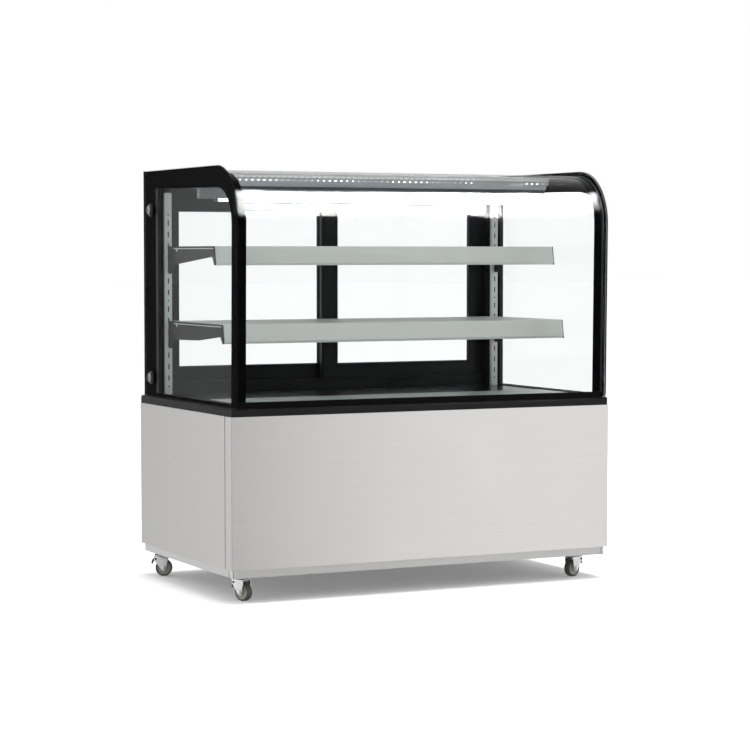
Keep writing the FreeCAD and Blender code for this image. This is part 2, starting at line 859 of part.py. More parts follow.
def controls():
    """The control box in the rear panel, its two rocker switches and the inlet gland."""
    face = "rear_panel_face"
    bezel = box(
        "bezel",
        ("control_left - bezel_margin", face, "control_bottom - bezel_margin"),
        ("control_right + bezel_margin", f"{face} + 2.5", "control_top + bezel_margin"),
    )
    body = box(
        "control_body",
        ("control_left", f"{face} - 32", "control_bottom"),
        ("control_right", face, "control_top"),
    )
    middle = "(control_bottom + control_top) / 2"
    rocker_top = f"{middle} + 7"
    rocker_bottom = f"{middle} - 7"
    rocker = [
        (f"{face} + 2", rocker_bottom),
        (f"{face} + 3.2", rocker_top),
        (f"{face} - 3", rocker_top),
        (f"{face} - 6", middle),
        (f"{face} - 3", rocker_bottom),
    ]
    recesses = []
    for name, across in SWITCHES.items():
        recesses.append(
            box(
                f"{name}_recess",
                (across - 10, f"{face} - 8", f"{middle} - 9"),
                (across + 10, f"{face} + 3", f"{middle} + 9"),
            )
        )
        node(name, profile(name, "YZ", rocker, across - 9, across + 9))
    node("control_panel", cut("control_panel", fuse("control_blank", [bezel, body]), recesses))
    flange = "gland_radius + 4"
    bore = "gland_radius - 3"
    gland = turned(
        "cord_gland",
        [
            (bore, "-8"),
            ("gland_radius", "-8"),
            ("gland_radius", "0"),
            (flange, "0"),
            (flange, "6"),
            ("gland_radius", "10"),
            (bore, "10"),
        ],
        "gland_across",
        face,
        "gland_height",
        V(0, 1, 0),
    )
    node("cord_gland", gland)


# ---------------------------------------------------------------- glass


def lean_line(recess, height):
    """Y of the leaning front line of the glass, set back by a recess, at a height."""
    return f"pane_foot + {recess} - pane_lean * ({height} - trim_top)"


def pane_body(name, recess, rear, bottom, low, thickness, toe):
    """A flat pane with the side outline of the case, set back by a recess."""
    top = f"case_height - {recess}"
    corners = [
        (rear, bottom),
        (lean_line(recess, bottom), bottom),
        (lean_line(recess, f"({top})"), top),
        (rear, top),
    ]
    rounds = {2: f"bend_radius - {recess}"}
    if toe:
        rounds[1] = toe
    return profile(name, "YZ", corners, low, f"({low}) + ({thickness})", rounds)


def side_glazing(side, label):
    """The outer and the inner pane of one side."""
    low, _ = spread(side, "pane_face - pane_glass", "pane_face")
    name = f"{label}_outer_pane"
    node(name, pane_body(name, "0", "base_rear", "trim_top", low, "pane_glass", "pane_toe_round"))
    inner_face = "pane_face - pane_glass - pane_gap"
    low, _ = spread(side, f"{inner_face} - pane_glass", inner_face)
    name = f"{label}_inner_pane"
    node(name, pane_body(name, "inner_recess", "inner_pane_rear", "trim_top", low, "pane_glass", None))


def pane_spacer(side, name):
    """The frame that keeps the two panes of one side apart."""
    low, _ = spread(side, "pane_face - pane_glass - pane_gap", "pane_face - pane_glass")
    blank = pane_body(f"{name}_blank", "inner_recess", "inner_pane_rear", "trim_top", low, "pane_gap", None)
    hole = pane_body(
        f"{name}_hole",
        "(inner_recess + spacer_width)",
        "inner_pane_rear - spacer_width",
        "trim_top + spacer_width",
        low,
        "pane_gap",
        None,
    )
    return cut(name, blank, [hole])


def front_glass():
    """The bent sheet: up the front, round the bend and back to the top panel."""
    inner = "(front_recess + front_gauge)"
    foot = "trim_top + 3"
    outer_top = "case_height - front_recess"
    inner_top = "case_height - front_recess - front_gauge"
    corners = [
        (lean_line("front_recess", f"({foot})"), foot),
        (lean_line("front_recess", f"({outer_top})"), outer_top),
        ("top_joint", outer_top),
        ("top_joint", inner_top),
        (lean_line(inner, f"({inner_top})"), inner_top),
        (lean_line(inner, f"({foot})"), foot),
    ]
    rounds = {1: "bend_radius - front_recess", 4: "bend_radius - front_recess - front_gauge"}
    ends = ("pane_glass + 3 - pane_face", "pane_face - pane_glass - 3")
    return node("front_glass", profile("front_glass", "YZ", corners, *ends, rounds=rounds))


def front_glass_channel():
    """The channel on the front trim that the foot of the bent glass stands in."""
    outer = "pane_foot + front_recess - 3"
    inner = "pane_foot + front_recess + front_gauge + 3"
    top = "trim_top + front_channel_rise"
    wall = "3"
    glass_outer_low = lean_line("front_recess", "(trim_top + 3)")
    glass_outer_high = lean_line("front_recess", f"({top})")
    glass_inner_low = lean_line("(front_recess + front_gauge)", "(trim_top + 3)")
    glass_inner_high = lean_line("(front_recess + front_gauge)", f"({top})")
    corners = [
        (outer, "trim_top"),
        (outer, top),
        (glass_outer_high, top),
        (glass_outer_low, f"trim_top + {wall}"),
        (glass_inner_low, f"trim_top + {wall}"),
        (glass_inner_high, top),
        (inner, top),
        (inner, "trim_top"),
    ]
    ends = ("pane_glass + 1 - pane_face", "pane_face - pane_glass - 1")
    return node("front_glass_channel", profile("front_glass_channel", "YZ", corners, *ends))


def top_panel():
    """The opaque top behind the bent glass, level with it."""
    return node(
        "top_panel",
        box(
            "top_panel",
            ("pane_glass + 1 - pane_face", "top_joint + 1", "case_height - front_recess - front_gauge"),
            ("pane_face - pane_glass - 1", "base_rear - 0.5", "case_height - front_recess"),
        ),
    )


def lamps():
    """The beam under the top joint and the two lamp strips that it carries."""
    top = "case_height - front_recess - front_gauge"
    slope_top = f"{top} - 12"
    slope_foot = "lamp_bottom + 8"
    corners = [
        ("lamp_front", top),
        ("lamp_front", f"{top} - 6"),
        ("lamp_slope_top", slope_top),
        ("lamp_slope_foot", slope_foot),
        ("lamp_slope_foot + 4", "lamp_bottom"),
        ("lamp_leg_front", "lamp_leg_bottom"),
        ("lamp_leg_rear", "lamp_leg_bottom"),
        ("lamp_leg_rear", "lamp_bottom"),
        ("lamp_rear", "lamp_bottom"),
        ("lamp_rear", top),
    ]
    beam = profile("lamp_beam", "YZ", corners, "-lamp_half_width", "lamp_half_width")
    bore = box(
        "lamp_bore",
        ("-lamp_half_width - 1", "lamp_slope_foot + 6", "lamp_bottom + lamp_wall"),
        ("lamp_half_width + 1", "lamp_rear - lamp_wall", f"{top} - lamp_wall"),
    )
    node("lamp_housing", cut("lamp_housing", beam, [bore]))
    lower = box(
        "lower_lamp_strip",
        ("-strip_half_width", "lamp_leg_front", "lamp_leg_bottom - 7"),
        ("strip_half_width", "lamp_leg_rear", "lamp_leg_bottom"),
    )
    slope = [
        ("lamp_slope_top", slope_top),
        ("lamp_slope_top - 6", f"{slope_top} - 2"),
        ("lamp_slope_foot - 8", slope_foot),
        ("lamp_slope_foot", slope_foot),
    ]
    upper = profile("upper_lamp_strip", "YZ", slope, "-lamp_half_width", "lamp_half_width")
    node("lamp_strips", group("lamp_strips", [lower, upper]))


def glass_fixings():
    """Collars and caps of the four clamps that hold the outer panes to the rear posts."""
    collar_section = [
        ("0", "0"),
        ("collar_radius", "0"),
        ("collar_radius", "collar_rise - 2"),
        ("collar_radius - 2", "collar_rise"),
        ("0", "collar_rise"),
    ]
    cap_section = [
        ("0", "collar_rise"),
        ("cap_radius", "collar_rise"),
        ("cap_radius", "cap_rise - 2"),
        ("cap_radius - 2", "cap_rise - 0.5"),
        ("0", "cap_rise"),
    ]
    collars = []
    caps = []
    for side in (LEFT, RIGHT):
        for height in ("fixing_lower", "fixing_upper"):
            label = len(collars)
            start = (f"{side} * pane_face", "fixing_place", height)
            away = V(side, 0, 0)
            collars.append(turned(f"collar_{label}", collar_section, *start, away))
            caps.append(turned(f"cap_{label}", cap_section, *start, away))
    node("fixing_collars", group("fixing_collars", collars))
    node("fixing_caps", group("fixing_caps", caps))


# ---------------------------------------------------------------- rear frame and doors


def rear_post(side, name):
    """The hollow black post that the panes, the top and the door tracks meet at."""
    low, high = spread(side, "post_face", "pane_face - pane_glass")
    return tube(
        name,
        (low, "post_front", "trim_top"),
        (high, "track_rear", "case_height - front_recess - front_gauge"),
        "z",
        wall="3",
    )


def track_corners(base, floor, front_lip, lip):
    """Section of a double track: a web from base to floor and three lips."""
    first = "track_front + track_wall"
    second = f"{first} + track_slot"
    third = f"{second} + track_middle"
    fourth = f"{third} + track_slot"
    return [
        ("track_front", base),
        ("track_front", front_lip),
        (first, front_lip),
        (first, floor),
        (second, floor),
        (second, lip),
        (third, lip),
        (third, floor),
        (fourth, floor),
        (fourth, lip),
        ("track_rear", lip),
        ("track_rear", base),
    ]


def tracks():
    """Sill and header: hollow extrusions between the posts, with the doors' double track."""
    top = "case_height - front_recess - front_gauge"
    sill = track_corners("trim_top", "sill_floor", "sill_top", "sill_top")
    header = track_corners(top, "header_ceiling", "header_bottom", "header_lip")
    sections = (
        ("rear_sill", sill, "trim_top", "sill_floor"),
        ("rear_header", header, "header_ceiling", top),
    )
    for name, corners, web_bottom, web_top in sections:
        solid = profile(f"{name}_section", "YZ", corners, "-post_face", "post_face")
        bore = box(
            f"{name}_bore",
            ("-post_face - 1", "track_front + 3", f"{web_bottom} + 3"),
            ("post_face + 1", "track_rear - 3", f"{web_top} - 3"),
        )
        node(name, cut(name, solid, [bore]))


def sliding_door(label, low, high, track, pull):
    """One framed glass door; track is the Y of its front face, pull the X of its finger pull."""
    back = f"{track} + door_thickness"
    blank = box(f"{label}_blank", (low, track, "door_bottom"), (high, back, "door_top"))
    left = f"{low} + door_stile"
    right = f"{high} - door_stile"
    bottom = "door_bottom + door_bottom_rail"
    top = "door_top - door_top_rail"
    window = box(f"{label}_window", (left, f"{track} - 1", bottom), (right, f"{back} + 1", top))
    glass_front = f"{track} + (door_thickness - door_glass) / 2"
    glass_back = f"{glass_front} + door_glass"
    grip = "glass_engagement"

    def glass_block(name):
        return box(
            name,
            (f"{left} - {grip}", glass_front, f"{bottom} - {grip}"),
            (f"{right} + {grip}", glass_back, f"{top} + {grip}"),
        )

    middle = "(door_bottom + door_top) / 2"
    recess = box(
        f"{label}_pull",
        (f"{pull} - pull_width / 2", f"{back} - pull_depth", f"{middle} - pull_height / 2"),
        (f"{pull} + pull_width / 2", f"{back} + 1", f"{middle} + pull_height / 2"),
    )
    tools = fuse(f"{label}_room", [window, glass_block(f"{label}_groove")])
    frame = cut(f"{label}_open_frame", blank, [tools, recess])
    members = [frame]
    glide_length = 40
    for end, start in (("low", f"{low} + {glide_length}"), ("high", f"{high} - 2 * {glide_length}")):
        members.append(
            box(
                f"{label}_glide_{end}",
                (start, f"{track} + 2", "sill_floor + 0.3"),
                (f"{start} + {glide_length}", f"{back} - 2", "door_bottom"),
            )
        )
    node(f"{label}_frame", fuse(f"{label}_frame", members))
    node(f"{label}_glass", glass_block(f"{label}_glass"))


def doors():
    """The left door runs in the rear track and the right door in the front one."""
    stile_middle = "(door_edge - door_stile / 2)"
    front_track = "track_front + track_wall + 2"
    rear_track = f"{front_track} + track_slot + track_middle"
    sliding_door("left_door", "-door_edge", "door_overlap", rear_track, f"-{stile_middle}")
    sliding_door("right_door", "-door_overlap", "door_edge", front_track, stile_middle)


# ---------------------------------------------------------------- shelves


def upright(side, name):
    """A slotted channel, open towards the rear, with keyhole slots for the brackets."""
    middle = f"{side} * upright_place"
    left = f"{middle} - upright_width / 2"
    right = f"{middle} + upright_width / 2"
    back = "upright_front + upright_depth"
    gauge = "upright_gauge"
    blank = box(
        f"{name}_blank",
        (left, "upright_front", "trim_top"),
        (right, back, "upright_top"),
    )
    hollow = box(
        f"{name}_hollow",
        (f"{left} + {gauge}", f"upright_front + {gauge}", "trim_top - 1"),
        (f"{right} - {gauge}", f"{back} + 1", "upright_top + 1"),
    )
    holes = []
    for group_index in range(SLOT_GROUPS):
        for index in range(SLOTS_IN_GROUP):
            height = f"slot_first + {group_index} * screw_pitch + {index} * slot_pitch"
            holes.append(
                box(
                    f"{name}_slot_{len(holes)}",
                    (f"{middle} - slot_width / 2", "upright_front - 1", f"{height} - slot_length / 2"),
                    (f"{middle} + slot_width / 2", "upright_front + 3", f"{height} + slot_length / 2"),
                )
            )
    for index in range(SLOT_GROUPS + 1):
        height = f"slot_first - screw_gap + {index} * screw_pitch"
        start = (middle, "upright_front - 1", height)
        holes.append(cylinder(f"{name}_screw_hole_{index}", 2.6, 4, start, V(0, 1, 0)))
    shell = cut(f"{name}_shell", blank, [hollow])
    return cut(name, shell, holes)


def shelf(name, top, front):
    """A folded tray: sloping price rail in front, plain plate, short flange behind.

    The rail's foot is hemmed: it turns in at a slope, then runs level for a short lip.
    """
    gauge = "shelf_gauge"
    foot = f"{top} - fascia_drop"
    nose = f"{front} - fascia_lean"
    tail = f"{top} - shelf_rear_flange"
    corners = [
        ("shelf_rear", tail),
        ("shelf_rear", top),
        (front, top),
        (nose, f"{foot} + hem_rise"),
        (f"{nose} + hem_depth", foot),
        (f"{nose} + fascia_lip", foot),
        (f"{nose} + fascia_lip", f"{foot} + {gauge}"),
        (f"{nose} + hem_depth + 0.5 * {gauge}", f"{foot} + {gauge}"),
        (f"{nose} + 1.1 * {gauge}", f"{foot} + hem_rise + 0.4 * {gauge}"),
        (f"{front} + 0.8 * {gauge}", f"{top} - {gauge}"),
        (f"shelf_rear - {gauge}", f"{top} - {gauge}"),
        (f"shelf_rear - {gauge}", tail),
    ]
    ends = ("-shelf_half_width", "shelf_half_width")
    return node(name, profile(name, "YZ", corners, *ends, rounds={2: "3"}))


def bracket(side, name, top, front, arm_section):
    """A hooked plate with a ledge for the shelf and a nose down the end of its price rail.

    arm_section is the lower edge of the plate, from the rear to the front.
    """
    middle = f"{side} * upright_place"
    low = f"{middle} - bracket_gauge / 2"
    high = f"{middle} + bracket_gauge / 2"
    tip = f"{front} + bracket_tip"
    nose = f"{tip} - fascia_lean"
    nose_foot = f"{top} - fascia_drop"
    tab_foot = f"{top} - bracket_tab"
    corners = [
        ("upright_front", top),
        (tip, top),
        (nose, nose_foot),
        (f"{nose} + bracket_nose", nose_foot),
    ]
    corners += [(along, f"{top} - {drop}") for along, drop in reversed(arm_section)]
    corners += [("upright_front - bracket_root + 8", tab_foot), ("upright_front", tab_foot)]
    members = [profile(f"{name}_plate", "YZ", corners, low, high)]
    ledge_low, ledge_high = spread(side, "bracket_ledge", "upright_place - bracket_gauge / 2")
    ledge_top = f"{top} - shelf_gauge"
    members.append(
        box(
            f"{name}_ledge",
            (ledge_low, f"{tip} + 6", f"{ledge_top} - 2"),
            (ledge_high, "upright_front - bracket_root", ledge_top),
        )
    )
    for index in range(2):
        height = f"{top} - hook_drop - {index} * slot_pitch"
        members.append(
            box(
                f"{name}_hook_{index}",
                (low, "upright_front", f"{height} - 6"),
                (high, "upright_front + 5.5", f"{height} + 6"),
            )
        )
        members.append(
            box(
                f"{name}_lip_{index}",
                (low, "upright_front + 2.5", f"{height} - 12"),
                (high, "upright_front + 5.5", f"{height} - 6"),
            )
        )
    return fuse(name, members)


def shelving():
    """Uprights, both shelves and the two pairs of brackets that carry them."""
    both_sides("shelf_uprights", upright)
    shelf("upper_shelf", "upper_shelf_top", "upper_shelf_front")
    shelf("lower_shelf", "lower_shelf_top", "lower_shelf_front")
    root = ("upright_front - bracket_root", 54)
    throat = "bracket_tip + bracket_nose + 5"
    upper_arm = [root, (f"upper_shelf_front + {throat}", 30)]
    lower_arm = [root, ("lower_shelf_front + 180", 50), (f"lower_shelf_front + {throat}", 35)]
    both_sides(
        "upper_shelf_brackets",
        lambda side, name: bracket(side, name, "upper_shelf_top", "upper_shelf_front", upper_arm),
    )
    both_sides(
        "lower_shelf_brackets",
        lambda side, name: bracket(side, name, "lower_shelf_top", "lower_shelf_front", lower_arm),
    )


# ---------------------------------------------------------------- casters


def heading_rotation(heading):
    """Turn about the kingpin that points a caster's own X axis along its heading."""
    return FreeCAD.Rotation(V(0, 0, 1), heading)


def caster_plate(name, x, y):
    """The fixed half of a caster: mounting plate and swivel cup."""
    half = "plate_half_width"
    plate_top = "panel_bottom - tray_gauge"
    plate_bottom = f"{plate_top} - plate_gauge"
    plate = box(
        f"{name}_plate",
        (f"{x} - {half}", f"{y} - {half}", plate_bottom),
        (f"{x} + {half}", f"{y} + {half}", plate_top),
    )
    cup_bottom = "swivel_top + 0.5"
    cup = cylinder(f"{name}_cup", "cup_radius", f"{plate_bottom} - ({cup_bottom})", (x, y, cup_bottom))
    bore = cylinder(f"{name}_bore", "axle_radius + running_gap", 20, (x, y, "swivel_top - 3"))
    return cut(name, fuse(f"{name}_blank", [plate, cup]), [bore])


def caster_fork(name, x, y, heading):
    """The swivelling half: kingpin, turning disc, crown, two legs and the axle."""
    trail = "caster_trail"
    members = [
        cylinder(f"{name}_kingpin", "axle_radius", "86 - fork_top", (0, 0, "fork_top")),
        cylinder(f"{name}_disc", 15, "swivel_top - fork_top", (0, 0, "fork_top")),
        box(
            f"{name}_crown",
            ("-fork_half_width", "-fork_half_width", "fork_top - fork_gauge"),
            (f"{trail} + 12", "fork_half_width", "fork_top"),
        ),
    ]
    leg = [
        ("-fork_half_width", "fork_top"),
        ("-fork_half_width", "brake_pin_rise - 6"),
        (f"{trail} - 8", "wheel_radius"),
        (f"{trail} - 5", "wheel_radius - 7"),
        (f"{trail} + 5", "wheel_radius - 7"),
        (f"{trail} + 8", "wheel_radius"),
        (f"{trail} + 12", "fork_top"),
    ]
    for side, label in ((LEFT, "near"), (RIGHT, "far")):
        low, high = spread(side, "fork_half_width - fork_gauge", "fork_half_width")
        members.append(profile(f"{name}_leg_{label}", "XZ", leg, low, high))
    axle_start = (trail, "-fork_half_width - fork_gauge", "wheel_radius")
    axle_length = "2 * (fork_half_width + fork_gauge)"
    members.append(cylinder(f"{name}_axle", "axle_radius", axle_length, axle_start, V(0, 1, 0)))
    pin_hole = cylinder(
        f"{name}_pin_hole",
        "brake_pin_radius + running_gap",
        "2 * fork_half_width + 2",
        ("brake_pin_place", "-fork_half_width - 1", "brake_pin_rise"),
        V(0, 1, 0),
    )
    fork = cut(name, fuse(f"{name}_blank", members), [pin_hole])
    node(name, place(fork, x, y, 0, heading_rotation(heading)))


def caster_wheel(name, x, y, heading):
    """A disc wheel with a raised hub and a tread that stands proud of the disc."""
    rim = "wheel_radius - 4"
    hub = "axle_radius + 7"
    corners = [
        ("axle_radius + running_gap", "-hub_half_width"),
        (hub, "-hub_half_width"),
        (hub, "2 - wheel_half_width"),
        (rim, "2 - wheel_half_width"),
        (rim, "-wheel_half_width"),
        ("wheel_radius - 2.5", "-wheel_half_width"),
        ("wheel_radius", "3 - wheel_half_width"),
        ("wheel_radius", "wheel_half_width - 3"),
        ("wheel_radius - 2.5", "wheel_half_width"),
        (rim, "wheel_half_width"),
        (rim, "wheel_half_width - 2"),
        (hub, "wheel_half_width - 2"),
        (hub, "hub_half_width"),
        ("axle_radius + running_gap", "hub_half_width"),
    ]
    angle = math.radians(heading)
    across = f"{x} + caster_trail * {math.cos(angle):.6f}"
    along = f"{y} + caster_trail * {math.sin(angle):.6f}"
    axle = heading_rotation(heading).multVec(V(0, 1, 0))
    node(name, turned(name, corners, across, along, "wheel_radius", axle))


def caster_brake(name, x, y, heading):
    """The toe lever, with the pin that it rocks on."""
    lever = profile(f"{name}_lever", "XZ", BRAKE_LEVER, "-wheel_half_width", "wheel_half_width")
    pin = cylinder(
        f"{name}_pin",
        "brake_pin_radius",
        "2 * fork_half_width",
        ("brake_pin_place", "-fork_half_width", "brake_pin_rise"),
        V(0, 1, 0),
    )
    node(name, place(fuse(name, [lever, pin]), x, y, 0, heading_rotation(heading)))


def casters():
    """Four swivel casters: fixed plates as one group, and three moving sub-parts each."""
    plates = []
    for label, (x, y, heading) in CASTERS.items():
        plates.append(caster_plate(f"{label}_caster_plate", x, y))
        caster_fork(f"{label}_fork", x, y, heading)
        caster_wheel(f"{label}_wheel", x, y, heading)
        caster_brake(f"{label}_brake", x, y, heading)
    node("caster_plates", group("caster_plates", plates))


# ---------------------------------------------------------------- assembly

chassis_pan()
base_frame()
front_panel()
side_panel(LEFT, "left_side_panel")
side_panel(RIGHT, "right_side_panel")
rear_panel()
front_trim()
both_sides("side_trims", side_trim)
insulated_tub()
deck_plate()
evaporator()
condenser()
compressor()
condensate_pan()
refrigerant_lines()
controls()
side_glazing(LEFT, "left")
side_glazing(RIGHT, "right")
both_sides("pane_spacers", pane_spacer)
front_glass()
front_glass_channel()
top_panel()
lamps()
glass_fixings()
both_sides("rear_posts", rear_post)
tracks()
doors()
shelving()
casters()
doc.recompute()

for item in doc.Objects:
    if {"Invalid", "Error"} & set(item.State):
        raise RuntimeError(f"{item.Label} failed to compute: {item.State}")
for name, item in nodes.items():
    if item.Shape.isNull() or not item.Shape.isValid():
        raise RuntimeError(f"{name} has no valid shape")
for name, item in nodes.items():
    item.Shape.exportStep(f"parts/{name}.step")
print(len(nodes), "sub-parts written")
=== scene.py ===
"""Looks of the refrigerated bakery display case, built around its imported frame.

The shape helpers take millimetres in the frame of the case: Z = 0 is the floor, the
customer stands on the -Y side and X = 0 is the middle. Every object is in metres.
"""

import json
import math

import bmesh
import bpy
from mathutils import Matrix, Vector


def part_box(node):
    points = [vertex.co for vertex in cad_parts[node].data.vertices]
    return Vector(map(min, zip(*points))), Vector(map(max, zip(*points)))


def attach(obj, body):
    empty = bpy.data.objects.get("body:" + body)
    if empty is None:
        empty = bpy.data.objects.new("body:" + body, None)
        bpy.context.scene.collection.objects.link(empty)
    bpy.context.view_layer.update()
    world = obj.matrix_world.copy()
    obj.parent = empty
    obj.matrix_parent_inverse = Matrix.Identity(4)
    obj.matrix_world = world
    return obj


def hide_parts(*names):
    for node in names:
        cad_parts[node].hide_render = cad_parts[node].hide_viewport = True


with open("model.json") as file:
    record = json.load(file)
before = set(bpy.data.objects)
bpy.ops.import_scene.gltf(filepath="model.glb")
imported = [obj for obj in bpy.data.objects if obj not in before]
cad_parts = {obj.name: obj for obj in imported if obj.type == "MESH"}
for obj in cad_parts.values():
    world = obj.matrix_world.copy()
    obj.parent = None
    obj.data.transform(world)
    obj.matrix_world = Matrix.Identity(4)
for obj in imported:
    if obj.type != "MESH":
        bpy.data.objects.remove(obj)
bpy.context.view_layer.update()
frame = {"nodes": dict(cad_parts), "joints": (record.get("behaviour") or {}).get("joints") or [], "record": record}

MM = 0.001
CASE = "case"
SIDES = {"left": -1, "right": 1}
CASTERS = ("front_left", "front_right", "rear_left", "rear_right")


# ---------------------------------------------------------------- materials


class Look:
    """A material whose nodes are added one by one."""

    def __init__(self, name):
        self.material = bpy.data.materials.new(name)
        self.material.use_nodes = True
        self.tree = self.material.node_tree
        self.tree.nodes.clear()
        self.output = self.node("ShaderNodeOutputMaterial")
        self.place = self.node("ShaderNodeTexCoord").outputs["Object"]

    def node(self, kind, **settings):
        made = self.tree.nodes.new(kind)
        for key, value in settings.items():
            setattr(made, key, value)
        return made

    def link(self, start, end):
        self.tree.links.new(start, end)

    def noise(self, scale, stretch=(1, 1, 1), detail=4.0):
        """Noise in the object's own place, drawn out along the least stretched axes."""
        mapping = self.node("ShaderNodeMapping")
        mapping.inputs["Scale"].default_value = stretch
        self.link(self.place, mapping.inputs["Vector"])
        texture = self.node("ShaderNodeTexNoise")
        texture.inputs["Scale"].default_value = scale
        texture.inputs["Detail"].default_value = detail
        self.link(mapping.outputs["Vector"], texture.inputs["Vector"])
        return texture.outputs["Fac"]

    def between(self, factor, low, high):
        """A number that runs from low to high as the noise goes over its usual range."""
        spread = self.node("ShaderNodeMapRange")
        spread.inputs["From Min"].default_value = 0.3
        spread.inputs["From Max"].default_value = 0.7
        spread.inputs["To Min"].default_value = low
        spread.inputs["To Max"].default_value = high
        self.link(factor, spread.inputs["Value"])
        return spread.outputs["Result"]

    def tint(self, factor, first, second):
        """A colour between two, by a factor."""
        mix = self.node("ShaderNodeMix", data_type="RGBA")
        mix.inputs["A"].default_value = (*first, 1)
        mix.inputs["B"].default_value = (*second, 1)
        self.link(factor, mix.inputs["Factor"])
        return mix.outputs["Result"]

    def bump(self, height, strength, depth, target):
        relief = self.node("ShaderNodeBump")
        relief.inputs["Strength"].default_value = strength
        relief.inputs["Distance"].default_value = depth
        self.link(height, relief.inputs["Height"])
        self.link(relief.outputs["Normal"], target)

    def surface(self, **sockets):
        """The Principled shader, with its plain values given by name."""
        shader = self.node("ShaderNodeBsdfPrincipled")
        for key, value in sockets.items():
            shader.inputs[key.replace("_", " ").title().replace("Ior", "IOR")].default_value = value
        self.link(shader.outputs["BSDF"], self.output.inputs["Surface"])
        return shader


def brushed_steel(name, colour, stretch, rough, streak=0.0):
    """Sheet with fine drawn lines along its least stretched axes, and faint handling marks;
    streak draws its reflections out across level lines."""
    look = Look(name)
    lines = look.noise(1.0, stretch, 3.0)
    smudges = look.noise(5.0, (1, 1, 1), 6.0)
    quarter_turn, line_shade, smudge_share = 0.25, 0.93, 0.5
    shader = look.surface(metallic=1.0, anisotropic=streak, anisotropic_rotation=quarter_turn)
    darker = [part * line_shade for part in colour]
    shade = look.between(lines, 0.0, 1.0)
    look.link(look.tint(shade, darker, colour), shader.inputs["Base Color"])
    both = look.node("ShaderNodeMath", operation="MULTIPLY_ADD")
    look.link(smudges, both.inputs[0])
    both.inputs[1].default_value = smudge_share
    look.link(lines, both.inputs[2])
    look.link(look.between(both.outputs[0], rough - 0.1, rough + 0.06), shader.inputs["Roughness"])
    look.bump(lines, 0.12, 0.0004, shader.inputs["Normal"])
    return look.material


def coated(name, colour, rough, grain=900.0, relief=0.05, variation=0.12, **sockets):
    """Paint, anodising, plastic or rubber: fine grain, and uneven tone and gloss."""
    look = Look(name)
    grains = look.noise(grain, (1, 1, 1), 2.0)
    patches = look.noise(9.0, (1, 1, 1), 5.0)
    shader = look.surface(**sockets)
    darker = [part * (1 - variation) for part in colour]
    lighter = [min(1.0, part * (1 + variation)) for part in colour]
    look.link(look.tint(look.between(patches, 0.0, 1.0), darker, lighter), shader.inputs["Base Color"])
    look.link(look.between(patches, rough - 0.05, rough + 0.07), shader.inputs["Roughness"])
    look.bump(grains, relief, 0.0002, shader.inputs["Normal"])
    return look.material


GLASS_TINT = (0.985, 0.992, 0.990)
GLASS_EDGE = (0.0010, 0.0015, 0.0014)
GLANCE_POWER = 5.0    # how suddenly a pane turns into a mirror near a glancing angle


def clear_glass(name, faces_sideways, mirror, glancing):
    """A pane seen straight through, which mirrors a little, and more at a glancing angle.

    Its ground edges are dark: all but the faces that look along X on a pane that faces
    sideways, and on another pane just the faces that look along X.
    """
    look = Look(name)
    geometry = look.node("ShaderNodeNewGeometry")
    facing = look.node("ShaderNodeLayerWeight")
    facing.inputs["Blend"].default_value = 0.5
    steep = look.node("ShaderNodeMath", operation="POWER")
    steep.inputs[1].default_value = GLANCE_POWER
    look.link(facing.outputs["Facing"], steep.inputs[0])
    share = look.node("ShaderNodeMath", operation="MULTIPLY_ADD")
    share.inputs[1].default_value = glancing
    share.inputs[2].default_value = mirror
    look.link(steep.outputs[0], share.inputs[0])
    clear = look.node("ShaderNodeBsdfTransparent")
    clear.inputs["Color"].default_value = (*GLASS_TINT, 1)
    gloss = look.node("ShaderNodeBsdfGlossy")
    gloss.inputs["Roughness"].default_value = 0.0
    gloss.inputs["Color"].default_value = (1, 1, 1, 1)
    pane = look.node("ShaderNodeMixShader")
    look.link(share.outputs[0], pane.inputs[0])
    look.link(clear.outputs[0], pane.inputs[1])
    look.link(gloss.outputs[0], pane.inputs[2])
    edge = look.node("ShaderNodeBsdfPrincipled")
    edge.inputs["Base Color"].default_value = (*GLASS_EDGE, 1)
    edge.inputs["Roughness"].default_value = 0.12
    edge.inputs["Specular IOR Level"].default_value = 0.08
    ways = look.node("ShaderNodeSeparateXYZ")
    look.link(geometry.outputs["True Normal"], ways.inputs[0])
    size = look.node("ShaderNodeMath", operation="ABSOLUTE")
    look.link(ways.outputs["X"], size.inputs[0])
    test = "LESS_THAN" if faces_sideways else "GREATER_THAN"
    on_edge = look.node("ShaderNodeMath", operation=test)
    on_edge.inputs[1].default_value = 0.5
    look.link(size.outputs[0], on_edge.inputs[0])
    whole = look.node("ShaderNodeMixShader")
    look.link(on_edge.outputs[0], whole.inputs[0])
    look.link(pane.outputs[0], whole.inputs[1])
    look.link(edge.outputs[0], whole.inputs[2])
    look.link(whole.outputs[0], look.output.inputs["Surface"])
    return look.material


def glowing(name, colour, strength):
    """A pale plastic that gives off light of its own."""
    look = Look(name)
    look.surface(
        roughness=0.4, base_color=(0.9, 0.9, 0.9, 1), emission_color=(*colour, 1), emission_strength=strength
    )
    return look.material


